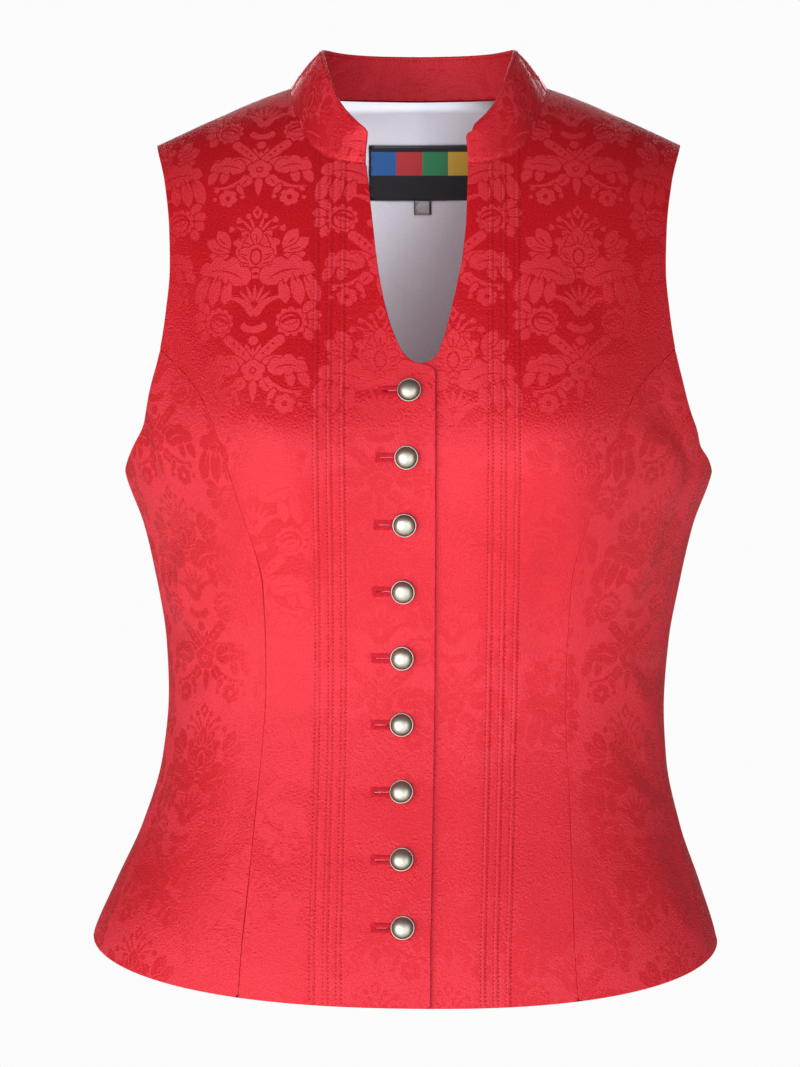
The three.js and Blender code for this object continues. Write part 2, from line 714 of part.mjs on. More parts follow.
let rightPanel = solid(wall(rightFront, CLOTH));
const { long, slit, eyelet } = BUTTONHOLE;
const slitCut = new THREE.BoxGeometry(long, slit, 4 * CLOTH).translate(-long / 2, 0, 0);
const eyeletCut = new THREE.CylinderGeometry(eyelet, eyelet, 4 * CLOTH, 12).rotateX(Math.PI / 2);
const buttonhole = solid(slitCut).add(solid(eyeletCut));
frames.forEach((frame) => {
  rightPanel = rightPanel.subtract(buttonhole.transform(frame.elements));
});
addCloth("front_right", geometryOf(rightPanel), damask);
addCloth("front_left", wall(underFront, CLOTH), damask);

const sideFront = drawnBack(sideGrid(false), ["first", "last"]);
addCloth("side_front_left", wall(sideFront, CLOTH), damask);
addCloth("side_front_right", wall(mirrorGrid(sideFront), CLOTH), damask);

const sideBack = drawnBack(sideGrid(true).map((row) => row.reverse()), ["first", "last"]);
addCloth("side_back_left", wall(sideBack, CLOTH), damask);
addCloth("side_back_right", wall(mirrorGrid(sideBack), CLOTH), damask);

const centreBack = drawnBack(backGrid(), ["first", "last", "top"]);
addCloth("back", wall(centreBack, CLOTH), damask);
addCloth("lining_back", wall(centreBack, LINING, -CLOTH - LINING_GAP), cotton);

const neckSeam = { front: frontGrid(leftEdge, leftOpening).at(-1), back: backGrid().at(-1) };
addCloth("collar", wall(collarGrid(neckSeam.front, neckSeam.back), COLLAR_WALL), damask);

const labelFoot = LABEL.top - LABEL.high;
const tabTop = labelFoot - SEAM_GAP;
addCloth("neck_label", labelWall(centreBack, labelFoot, LABEL.top, LABEL.wide, LABEL.thick), woven);
addCloth("size_tab", labelWall(centreBack, tabTop - SIZE_TAB.high, tabTop, SIZE_TAB.wide, SIZE_TAB.thick), tape);

frames.forEach((frame, i) => {
  const seat = clothUnder(rightFront, frame, BUTTON_CAP.radius) + SEAM_GAP;
  const foot = clothUnder(underFront, frame, SHANK_RADIUS) + SEAM_GAP;
  const button = add(`button_${i + 1}`, buttonGeometry(Math.max(seat, SEAM_GAP), foot), pewter);
  button.applyMatrix4(frame);
  button.position.add(swing(button.position));
});

export default bodice;
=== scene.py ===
"""A women's dirndl bodice in red damask, filled out as it is worn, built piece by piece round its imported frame.

Every cloth piece is cut flat, with the woven pattern cut into its faces, and laid on one form. A place on the
form is an angle round the body, from the centre front or the centre back, and a height. Lengths in the tables
are millimetres, +Z up; the front faces -Y and the wearer's left is +X.
"""

import json
import math

import bmesh
import bpy
import numpy as np
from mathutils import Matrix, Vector
from mathutils.geometry import delaunay_2d_cdt

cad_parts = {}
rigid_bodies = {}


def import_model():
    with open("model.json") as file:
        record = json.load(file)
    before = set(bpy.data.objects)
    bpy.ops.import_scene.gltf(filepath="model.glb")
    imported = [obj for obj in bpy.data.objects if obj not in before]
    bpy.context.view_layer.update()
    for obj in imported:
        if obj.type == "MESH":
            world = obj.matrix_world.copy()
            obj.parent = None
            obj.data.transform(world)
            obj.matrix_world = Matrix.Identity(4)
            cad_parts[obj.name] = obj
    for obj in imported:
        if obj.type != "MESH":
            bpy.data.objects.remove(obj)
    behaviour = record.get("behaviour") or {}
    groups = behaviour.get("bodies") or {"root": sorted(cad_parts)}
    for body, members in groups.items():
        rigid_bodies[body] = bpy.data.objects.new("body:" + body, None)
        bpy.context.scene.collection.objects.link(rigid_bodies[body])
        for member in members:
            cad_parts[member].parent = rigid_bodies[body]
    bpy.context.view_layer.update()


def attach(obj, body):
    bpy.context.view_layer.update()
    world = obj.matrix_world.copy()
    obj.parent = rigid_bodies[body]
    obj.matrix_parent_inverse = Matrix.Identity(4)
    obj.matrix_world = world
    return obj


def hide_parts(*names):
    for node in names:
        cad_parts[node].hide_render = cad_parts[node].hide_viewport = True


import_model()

bl_info = {
    "name": "Dirndl bodice",
    "version": (1, 0, 0),
    "blender": (4, 5, 0),
    "location": "3D View > Sidebar > Bodice",
    "description": "Cuts, sews and lights a women's damask bodice",
    "category": "Add Mesh",
}

MM = 0.001


# ---- The form that the cloth is laid on ----------------------------------------------------------------


def table(columns, *rows):
    """A small table: a list of numbers under each column's name."""
    return dict(zip(columns.split(), np.array(rows, float).T))


RINGS = table(
    "z width front back",
    (-560, 196, 127, 134),
    (-515, 189, 122, 128),
    (-480, 176.5, 116, 118),
    (-445, 162.5, 109, 106),
    (-405, 152.5, 102, 94),
    (-370, 150, 99, 89),
    (-335, 152, 101, 92),
    (-300, 158, 106, 98),
    (-265, 166, 112, 102),
    (-233, 177.5, 117, 106),
    (-205, 182, 119, 109),
    (-175, 183, 119, 110),
)
SHOULDER = table("x z", (0, 22), (40, 14), (78, 0.4), (97, -6.5), (125, -18.6), (159, -34.2))
SIDE_Y, RIDGE_Y = 4, 8  # the side seam's and the shoulder seam's place, front to back
UNDERARM_Z = -233
BUST = {"x": 84, "z": -228, "rise": 21, "across": 60, "above": 84, "below": 62}
SWING = {"hem": 8, "from": -270, "over": 240, "middle": 0.25, "tilt": 0.01}
HEM = {"side": -513.5, "front": 34, "back": 9, "soft": 0.12}

FRONT_SEAM = table(
    "z x",
    (-560, 100),
    (-500, 96),
    (-435, 92),
    (-360, 88),
    (-303, 90),
    (-248, 105),
    (-216, 115),
    (-198, 122),
    (-180, 133),
    (-161, 152),
)
BACK_SEAM = table(
    "z x",
    (-560, 92),
    (-500, 86),
    (-435, 76),
    (-370, 68),
    (-300, 74),
    (-248, 86),
    (-205, 103),
    (-175, 124),
    (-150, 151),
)
ARMHOLE_FRONT = table(
    "z x",
    (-233, 177.5),
    (-226, 174),
    (-215, 168),
    (-200, 162),
    (-180, 156.5),
    (-161, 152),
    (-140, 149),
    (-115, 147),
    (-90, 148),
    (-60, 152),
    (-34.2, 159),
)
ARMHOLE_BACK = table(
    "z x",
    (-233, 177.5),
    (-226, 174),
    (-210, 166),
    (-180, 156),
    (-150, 151),
    (-115, 149.5),
    (-80, 151),
    (-34.2, 159),
)
NECK_FRONT = table(
    "x z",
    (30, -53),
    (42, -51.5),
    (55, -47),
    (62, -41),
    (67, -33.5),
    (72, -22),
    (76, -8),
    (78, 0.3),
)
NECK_OPENING = table(
    "z right left",
    (-175, -11, -9),
    (-173, -7.5, -4),
    (-171, 0, 3),
    (-168, 5.5, 10),
    (-157, 12, 15),
    (-145, 16.2, 18.6),
    (-130, 20, 22),
    (-110, 23.4, 26.2),
    (-88, 26, 28.6),
    (-53, 30, 30),
)
JUNCTION = {"front": -161, "back": -150}  # where the long seams meet the armhole
NECK_X, NECK_BACK_Z, TIP_X = 78, -0.4, 159
OVERLAP = {"top": 11, "hem": 10.2, "top_z": -175, "corner": 3.2}
UNDERLAP = {"reach": 20, "depth": 2.2, "from": 13, "over": 26}
TUCK_X = (43.2, 50.9, 58.8)
TUCK = {"taper": 0.035, "wide": 3, "sunk": 0.12, "soft": 0.3}
COLLAR_FRONT = table(
    "seam x y z",
    (30, 28.5, -70, -33),
    (42, 37, -64.5, -25),
    (52, 45.5, -55.5, -15),
    (59.4, 49.5, -49, -7),
    (67, 53.3, -38, 4.5),
    (73, 56.2, -23, 14.5),
    (76, 57.6, -10, 20.6),
    (78, 58.2, 3, 23.8),
)
COLLAR_BACK = table(
    "seam x y z",
    (0, 0, 58, 25.5),
    (27, 18.5, 56, 25.5),
    (50, 35, 50, 25.6),
    (66, 46.5, 41, 25.8),
    (74, 53.6, 30, 26),
    (77.3, 57.0, 16, 25.4),
    (78, 58.2, 3, 23.8),
)
BUTTON = {"count": 9, "top": -187.5, "pitch": 38.8, "x_top": -4.2, "x_hem": -6, "bow": 3.2, "seat": 0.9}
SEAM_GAP = 0.3


def lerp(a, b, t):
    """The value a share of the way from a to b."""
    return a + (b - a) * t


def unit(ways):
    """Directions made one long."""
    return ways / np.linalg.norm(ways, axis=-1, keepdims=True)


def smooth(t):
    """A share from 0 to 1, eased at both ends."""
    t = np.clip(t, 0, 1)
    return t * t * (3 - 2 * t)


def curve(keys, values):
    """A smooth curve through a table's rows that never overshoots them."""
    step = np.diff(values) / np.diff(keys)
    a, b = step[:-1], step[1:]
    inner = np.where(a * b > 0, 2 * a * b / np.where(a + b == 0, 1, a + b), 0)
    slope = np.concatenate([step[:1], inner, step[-1:]])

    def at(x):
        x = np.clip(x, keys[0], keys[-1])
        i = np.clip(np.searchsorted(keys, x) - 1, 0, len(keys) - 2)
        h = keys[i + 1] - keys[i]
        t = (x - keys[i]) / h
        bend = t * (1 - t) * (slope[i] * (1 - t) - slope[i + 1] * t)
        return lerp(values[i], values[i + 1], t * t * (3 - 2 * t)) + h * bend

    return at


def along(rows, key, value):
    """The smooth curve of one of a table's columns by another."""
    return curve(rows[key], rows[value])


ring_width = along(RINGS, "z", "width")
shoulder_z = along(SHOULDER, "x", "z")


def bust_rise(x, z):
    """The fullness that the front seams give over the bust, bridged at the middle."""
    dz = (z - BUST["z"]) / np.where(z > BUST["z"], BUST["above"], BUST["below"])
    bumps = sum(np.exp(-(((x - at) / BUST["across"]) ** 2)) for at in (BUST["x"], -BUST["x"]))
    return BUST["rise"] * bumps * np.exp(-dz * dz)


def swing(points):
    """The cloth hangs a little to the wearer's right, more at the side seams than at the middle."""
    x, z = points[:, 0], points[:, 2]
    down = np.clip((SWING["from"] - z) / SWING["over"], 0, 1) ** 2
    share = lerp(SWING["middle"], 1, np.minimum(1, np.abs(x) / ring_width(z)))
    return points + np.stack([-SWING["hem"] * down * share, 0 * x, -SWING["tilt"] * down * x], 1)


class Half:
    """The front or the back half of the form. Angles run from its centre line, positive to the wearer's left."""

    LOWEST = -565  # the lowest level, below every hem
    LEVELS = np.concatenate([np.arange(LOWEST, UNDERARM_Z, 4.0), UNDERARM_Z + np.linspace(0, 90, 61)])
    ANGLES = np.radians(np.arange(0, 91.0))
    HEIGHTS = np.arange(-640, 92, 3.0)

    def __init__(self, back):
        self.back = back
        self.way = 1 if back else -1
        self.power = 2 / (2.4 if back else 2.3)  # how square the rings are
        self.cap = 2.6 if back else 1.8  # how long the cloth stays upright before it turns over the shoulder
        self.depth = along(RINGS, "z", "back" if back else "front")
        angle, level = np.meshgrid(self.ANGLES, self.LEVELS)
        places = self.place(angle, self.height(angle, level))
        self.rise = self.run_along(places, 0)
        start = np.searchsorted(self.LEVELS, UNDERARM_Z)
        self.rise -= self.rise[start]
        angle, z = np.meshgrid(self.ANGLES, self.HEIGHTS)
        self.girth = self.run_along(self.place(angle, z), 1)
        self.round = self.girth[np.searchsorted(self.HEIGHTS, UNDERARM_Z)]
        # Rows of the weave are counted up one line of the form, well off its middle.
        reference = self.place(np.full(self.HEIGHTS.shape, math.radians(25)), self.HEIGHTS)
        self.upright = np.cumsum(np.append(0, np.linalg.norm(np.diff(reference, axis=0), axis=1)))
        self.upright -= np.interp(UNDERARM_Z, self.HEIGHTS, self.upright)

    @staticmethod
    def run_along(places, axis):
        """The length from the first place to each, along one axis of a grid of places."""
        steps = np.linalg.norm(np.diff(places, axis=axis), axis=2)
        start = np.zeros_like(np.take(steps, [0], axis))
        return np.cumsum(np.concatenate([start, steps], axis), axis)

    def x(self, angle, z):
        """How far across a place is."""
        return np.sign(angle) * ring_width(z) * np.abs(np.sin(angle)) ** self.power

    def place(self, angle, z):
        """The form's point at an angle and a height."""
        x = self.x(angle, z)
        depth = np.abs(np.cos(angle)) ** self.power
        y = lerp(SIDE_Y, self.way * self.depth(z), depth)
        up = np.clip((z - UNDERARM_Z) / (shoulder_z(np.abs(x)) - UNDERARM_Z), 0, 1)
        y = RIDGE_Y + (y - RIDGE_Y) * (1 - up**self.cap) ** (1 / self.cap)
        if not self.back:
            y = y - bust_rise(x, z) * np.minimum(1, depth * 1.6)
        return np.stack([x, y, z + 0 * x], -1)

    def height(self, angle, level):
        """The height at a level: itself up to the underarm, then degrees up the cap over the shoulder."""
        share = np.sin(np.radians(np.clip(level - UNDERARM_Z, 0, 90))) ** (2 / self.cap)
        z = np.minimum(level, UNDERARM_Z) + 0.0
        for _ in range(4):
            ridge = shoulder_z(np.abs(self.x(angle, z)))
            z = np.where(level > UNDERARM_Z, lerp(UNDERARM_Z, ridge, share), level)
        return z

    def level(self, angle, z):
        """The level at a height."""
        up = (z - UNDERARM_Z) / (shoulder_z(np.abs(self.x(angle, z))) - UNDERARM_Z)
        degrees = np.degrees(np.arcsin(np.clip(up, 0, 1) ** (self.cap / 2)))
        return np.where(z > UNDERARM_Z, UNDERARM_Z + degrees, z)

    def angle_at(self, x, z):
        """The angle at which a height's ring is so far across."""
        return np.sign(x) * np.arcsin(np.clip(np.abs(x) / ring_width(z), 0, 1) ** (1 / self.power))

    def outward(self, angle, z):
        """The way out of the form; on the shoulder line, square to that line."""
        step = 0.002
        round_ = self.place(angle + step, z) - self.place(angle - step, z)
        low = np.minimum(z, shoulder_z(np.abs(self.x(angle, z))) - 0.25)
        up = self.place(angle, low + 0.2) - self.place(angle, low - 0.2)
        out = np.cross(round_, up) * -self.way
        x = self.x(angle, z)
        fall = shoulder_z(np.abs(x) + 0.5) - shoulder_z(np.abs(x) - 0.5)
        ridge = np.stack([-fall * np.sign(x), 0 * x, 1 + 0 * x], -1)
        near = smooth((z - shoulder_z(np.abs(x)) + 1.5) / 1.5)[:, None]
        return unit(lerp(unit(out), ridge, near))

    @staticmethod
    def between(values, at):
        """Whole and part index of each number in a rising list."""
        i = np.clip(np.searchsorted(values, at) - 1, 0, len(values) - 2)
        return i, np.clip((at - values[i]) / (values[i + 1] - values[i]), 0, 1)

    def lay(self, angle, z):
        """Where a place lies on the cutting table: length round the underarm ring, and length up."""
        j, v = self.between(self.ANGLES, np.abs(angle))
        i, u = self.between(self.LEVELS, self.level(angle, z))
        low = lerp(self.rise[i, j], self.rise[i, j + 1], v)
        high = lerp(self.rise[i + 1, j], self.rise[i + 1, j + 1], v)
        past = np.maximum(0, z - shoulder_z(np.abs(self.x(angle, z)))) + np.minimum(0, z - self.LOWEST)
        beyond = np.maximum(0, np.abs(angle) - self.ANGLES[-1]) * self.round[-1]
        across = np.interp(np.abs(angle), self.ANGLES, self.round) + beyond
        return np.stack([np.sign(angle) * across, lerp(low, high, u) + past], 1)

    def pick(self, laid):
        """The angle and height of places on the cutting table."""
        angle = np.interp(np.abs(laid[:, 0]), self.round, self.ANGLES)
        j, v = self.between(self.ANGLES, angle)
        columns = lerp(self.rise[:, j], self.rise[:, j + 1], v)
        i = np.clip((columns < laid[:, 1]).sum(0) - 1, 0, len(self.LEVELS) - 2)
        n = np.arange(len(i))
        part = (laid[:, 1] - columns[i, n]) / (columns[i + 1, n] - columns[i, n])
        level = lerp(self.LEVELS[i], self.LEVELS[i + 1], np.clip(part, 0, 1))
        angle = angle * np.sign(laid[:, 0])
        return angle, self.height(angle, level)

    def thread(self, angle, z):
        """Where a place lies in the weave: across, along the level ring, and up."""
        i, u = self.between(self.HEIGHTS, z)
        j, v = self.between(self.ANGLES, np.abs(angle))
        low = lerp(self.girth[i, j], self.girth[i, j + 1], v)
        high = lerp(self.girth[i + 1, j], self.girth[i + 1, j + 1], v)
        return np.stack([np.sign(angle) * lerp(low, high, u), np.interp(z, self.HEIGHTS, self.upright)], 1)

    def unthread(self, across, up):
        """The angle and height of places in the weave."""
        z = np.interp(up, self.upright, self.HEIGHTS)
        i, u = self.between(self.HEIGHTS, z)
        rows = lerp(self.girth[i], self.girth[i + 1], u[:, None])
        j = np.clip((rows < np.abs(across)[:, None]).sum(1) - 1, 0, len(self.ANGLES) - 2)
        n = np.arange(len(j))
        part = (np.abs(across) - rows[n, j]) / (rows[n, j + 1] - rows[n, j])
        angle = lerp(self.ANGLES[j], self.ANGLES[j + 1], np.maximum(part, 0))
        return angle * np.sign(across), z


FRONT, BACK = Half(False), Half(True)


# ---- The damask: one motif, drawn in rows, and its half-drop repeat ------------------------------------

MOTIF = (
    # shape, x and y from the motif's middle, turn from upright (outwards), long, wide, bend, lobes, woven as;
    # edged is figure with a line of ground round it
    # crest: a lozenge between sprays of buds
    ("disc", 0, 59, 0, 6.4, 9, 0, 4, "figure"),
    ("disc", 0, 59, 0, 2.8, 4.4, 0, 4, "ground"),
    ("leaf", 1.4, 47, 16, 9, 2.0, 8, 0, "figure"),
    ("disc", 5.4, 56.6, 0, 3.6, 3.8, 0, 0, "figure"),
    ("leaf", 2.6, 46, 36, 11.5, 1.9, 12, 0, "figure"),
    ("disc", 11.6, 53.8, 0, 4.4, 4.4, 0, 3, "figure"),
    ("leaf", 3.4, 44.6, 58, 12.5, 1.9, 14, 0, "figure"),
    ("disc", 16.4, 48.2, 30, 4.6, 4.6, 0, 3, "figure"),
    # a crown of petals over the bloom
    ("petal", 3, 36.6, 66, 12.4, 6, 22, 0, "edged"),
    ("petal", 1.6, 37, 34, 12.6, 6.4, 14, 0, "edged"),
    ("petal", 0, 37, 0, 12.4, 7.4, 0, 0, "edged"),
    ("leaf", 0, 38, 0, 7, 1, 0, 0, "ground"),
    # scrolls that hold the bloom
    ("curl", 2, 19.4, 68, 30, 6, -118, 0, "edged"),
    ("disc", 12.6, 38.6, 0, 4.6, 4.6, 0, 0, "figure"),
    # the bloom: an oval shell of rays
    ("disc", 0, 29.6, 0, 25, 15.6, 0, 7, "edged"),
    ("disc", 0, 29.4, 0, 8, 11.6, 0, 0, "ground"),
    ("disc", 0, 29.2, 0, 5.6, 9, 0, 0, "figure"),
    ("leaf", 4.6, 26.4, 52, 7.6, 1, 12, 0, "ground"),
    ("leaf", 5, 30, 74, 6, 1, 8, 0, "ground"),
    ("leaf", 3.6, 24.4, 80, 6.6, 1, -10, 0, "ground"),
    ("disc", 0, 18, 0, 11.4, 7.4, 0, 5, "edged"),
    ("disc", 0, 18, 0, 4, 2.2, 0, 0, "ground"),
    # lilies beside it
    ("petal", 17, 30.6, 104, 14, 7, -30, 0, "edged"),
    ("petal", 16.6, 33, 76, 18, 9, -26, 0, "edged"),
    ("petal", 16, 35, 44, 15.6, 8.6, -14, 0, "edged"),
    ("leaf", 19.6, 37.4, 50, 7, 0.9, -6, 0, "ground"),
    ("leaf", 20, 33.2, 80, 9, 0.9, -8, 0, "ground"),
    # great leaves that droop from under the bloom, finger by finger
    ("petal", 29.6, 20, 150, 25, 8.4, 20, 0, "edged"),
    ("petal", 22.6, 19, 158, 23, 8, 16, 0, "edged"),
    ("petal", 15.6, 15, 160, 18, 7, 14, 0, "edged"),
    ("frond", 4.6, 11.4, 36, 36, 18, 82, 4, "edged"),
    ("leaf", 7.6, 13.6, 46, 25, 1.1, 60, 0, "ground"),
    ("leaf", 22.6, 18.6, 150, 9, 0.9, 12, 0, "ground"),
    ("leaf", 28.6, 19, 146, 11, 0.9, 14, 0, "ground"),
    ("leaf", 16.4, 15.4, 156, 7, 0.9, 10, 0, "ground"),
    # the whisk and its two arms
    ("curl", 0.6, -11, 12, 24, 6, 84, 0, "edged"),
    ("disc", 16.8, 2.6, 0, 4.8, 4.2, 0, 0, "figure"),
    ("leaf", 1.8, -2, 40, 12, 2.2, 10, 0, "figure"),
    ("leaf", 1, -1, 20, 12.6, 2.4, 6, 0, "figure"),
    ("leaf", 0, -1, 0, 12.4, 2.4, 0, 0, "figure"),
    # a crescent
    ("disc", 0, -17, 0, 17, 8.4, 0, 0, "figure"),
    ("disc", 0, -13.6, 0, 11.6, 6.6, 0, 0, "ground"),
    # rosettes with leaf-shaped eyes, and the petals round them
    ("petal", 29.4, -8.4, 34, 11, 6.4, 34, 0, "edged"),
    ("petal", 31.4, -11, 68, 10, 6.6, 34, 0, "edged"),
    ("petal", 31.6, -14.4, 104, 9.6, 6.8, 30, 0, "edged"),
    ("petal", 30, -18, 136, 10, 6.4, 24, 0, "edged"),
    ("disc", 23, -14, 0, 19.6, 19.6, 0, 11, "edged"),
    ("disc", 22.6, -14.2, 0, 14, 13.6, 0, 0, "ground"),
    ("disc", 22.2, -14.8, 0, 12, 11, 0, 0, "figure"),
    ("leaf", 27.4, -11.2, 240, 12, 5.6, 30, 0, "ground"),
    ("leaf", 26.4, -12.4, 240, 8.8, 2.8, 24, 0, "figure"),
    # a ball and a trefoil
    ("disc", 0, -26, 0, 6.4, 6.4, 0, 0, "figure"),
    ("petal", 0.6, -37, 34, 10, 3, -18, 0, "edged"),
    ("leaf", 0, -37.4, 0, 7, 2.6, 0, 0, "figure"),
    # crossing ribbons with little squares
    ("band", 2, -40.6, 34, 24, 6.4, 22, 0, "edged"),
    ("disc", 6.3, -34.2, 38, 2.1, 2.1, 0, 4, "ground"),
    ("disc", 9.3, -31, 42, 2.1, 2.1, 0, 4, "ground"),
    ("disc", 12.6, -28, 46, 2.1, 2.1, 0, 4, "ground"),
    ("curl", 5, -41.4, 54, 29, 6, 80, 0, "edged"),
    ("disc", 28.8, -38.6, 0, 4.8, 4.4, 0, 0, "figure"),
    # the scroll leaves, the blossom and its heart leaves
    ("petal", 27, -43.4, 146, 14, 6.4, 14, 0, "edged"),
    ("petal", 20.6, -43, 160, 13, 6, 10, 0, "edged"),
    ("frond", 10, -46, 48, 25, 13.4, 80, 3, "edged"),
    ("leaf", 12.4, -44.6, 56, 17, 1, 58, 0, "ground"),
    ("drop", 5.6, -49.6, 146, 12, 8, -12, 0, "edged"),
    ("leaf", 6.8, -51.4, 146, 7, 0.9, -8, 0, "ground"),
    ("drop", 0, -51, 180, 14, 5, 0, 0, "edged"),
    ("disc", 0, -45, 0, 16, 14, 0, 5, "edged"),
    ("disc", 0, -45, 0, 5.2, 4.8, 0, 0, "ground"),
    ("disc", 0, -45, 0, 3, 2.8, 0, 0, "figure"),
    # hanging sprays: a curl with leaves, berries, and a star flower at the end
    ("curl", 10.6, -52, 138, 22, 3.4, -66, 0, "figure"),
    ("leaf", 14, -56, 204, 9, 4, 20, 0, "edged"),
    ("disc", 27.4, -60, 0, 3.6, 3.6, 0, 0, "figure"),
    ("disc", 19.6, -65.6, 12, 12.6, 12.6, 0, 6, "edged"),
    ("disc", 19.6, -65.6, 0, 3.6, 3.6, 0, 0, "ground"),
    ("disc", 10, -65, 0, 3.2, 3.2, 0, 0, "figure"),
    ("disc", 28.6, -66, 0, 3, 3, 0, 0, "figure"),
)
EDGE = 0.75  # the ground's line round an edged shape, mm
REPEAT = {"across": 75, "up": 135}  # the columns' spacing, and the repeat up each; every other column drops half


def shape_outline(kind, long, wide, bend, lobes, grown=0):
    """One shape's outline about its foot, upright: a disc round its middle, or a body along a bent line."""
    if kind == "disc":
        count = int(max(8, min(40, (long + wide) / (1.0 if lobes else 1.3))))
        if lobes:
            count = int(lobes * max(4 if lobes < 9 else 3, round(count / lobes)))
        a = np.linspace(0, 2 * math.pi, count, endpoint=False)
        reach = 1.0 if not lobes else 0.8 + 0.2 * np.abs(np.cos(a * lobes / 2)) ** 0.7
        if lobes and lobes < 5:
            reach = 0.72 + 0.28 * np.abs(np.cos(a * lobes / 2)) ** 1.6
        across, up = long / 2 * reach + grown, wide / 2 * reach + grown
        return np.stack([across * np.sin(a), up * np.cos(a)], 1)
    steps = int(max(5, min(26, long / (1.3 if kind == "frond" else 1.9))))
    u = np.linspace(0, 1, steps + 1)
    width = {
        "leaf": np.sin(math.pi * u**0.85) ** 0.9,
        "petal": np.sin(math.pi * np.minimum(1, u**1.35 + 0.03)) ** 0.7,
        "drop": np.sin(math.pi * u**0.6) ** 0.8,
        "band": np.where((u > 0.02) & (u < 0.98), 1.0, 0.5),
        "curl": (1 - u) ** 0.6 * np.minimum(1, 4 * u + 0.3),
        "frond": np.sin(math.pi * u**0.8) ** 0.6,
    }[kind]
    width = np.abs(width) * wide / 2
    turned = np.radians(bend) * u
    ahead = np.cumsum(np.append(0, np.cos((turned[1:] + turned[:-1]) / 2))) * long / steps
    aside = np.cumsum(np.append(0, np.sin((turned[1:] + turned[:-1]) / 2))) * long / steps
    line = np.stack([aside, ahead], 1)
    square = np.stack([np.cos(turned), -np.sin(turned)], 1)
    inner, outer = width + 0, width + 0
    if kind == "frond":
        notch = np.abs(np.cos(math.pi * lobes * u**1.1)) ** 5 * (u > 0.1)
        outer = width * (1 - 0.42 * notch)
        inner = width * (1 - 0.3 * notch)
    closed = width[-1] < 1e-3
    if grown:
        inner, outer = inner + grown, outer + grown
        ends = np.array([math.sin(turned[-1]), math.cos(turned[-1])]) * grown
        line = line + np.where((u == 1)[:, None], ends, 0) - np.where((u == 0)[:, None], (0, grown), 0)
        closed = False
    right, left = line + square * inner[:, None], line - square * outer[:, None]
    return np.concatenate([right, left[-2:0:-1] if closed else left[::-1]])


def motif_shapes():
    """Every shape of the motif, both halves, in the order in which they are woven over each other."""
    shapes = []
    for kind, x, y, turn, long, wide, bend, lobes, tone in MOTIF:
        c, s = math.cos(math.radians(turn)), math.sin(math.radians(turn))
        for grown, figure in ((EDGE, False), (0, True)) if tone == "edged" else ((0, tone == "figure"),):
            outline = shape_outline(kind, long, wide, bend, lobes, grown)
            outline = outline @ np.array([[c, -s], [s, c]]) + (x, y)
            shapes.append((outline, figure))
            if x or turn % 180:
                shapes.append((outline[::-1] * (-1, 1), figure))
    return shapes


def ring_area(points):
    """A ring's area, above zero where it runs left about."""
    x, y = points[:, 0], points[:, 1]
    return 0.5 * float(np.sum(x * np.roll(y, -1) - np.roll(x, -1) * y))
# ---- Cutting: a panel's outline on the table, and its faces -------------------------------------------

CUT_STEP = 3.0  # how far apart an outline's points are, mm
EDGE_ROWS = (0.29, 1.0)  # rows of points in from an edge, in rounds of the edge


def narrowed(z):
    """The share of their spacing that the tucks keep at a height, as they close in towards the hem."""
    down = np.clip((z - NECK_FRONT["z"][0]) / (hem_height(0.0, False) - NECK_FRONT["z"][0]), 0, 1)
    return 1 - TUCK["taper"] * down


def hem_height(angle, back):
    """The hem's height at an angle."""
    dip = HEM["back"] if back else HEM["front"]
    return HEM["side"] - dip * (np.hypot(np.cos(angle), HEM["soft"]) - HEM["soft"])


def stepped(line, step):
    """A line's points about a step apart, with both its ends."""
    run = np.append(0, np.cumsum(np.linalg.norm(np.diff(line, axis=0), axis=1)))
    at = np.linspace(0, run[-1], max(1, round(run[-1] / step)) + 1)
    return np.stack([np.interp(at, run, line[:, i]) for i in range(line.shape[1])], 1)


def joined(*lines):
    """Lines end to end as one ring."""
    ring = np.concatenate([line[:-1] for line in lines])
    return ring if ring_area(ring) > 0 else ring[::-1]


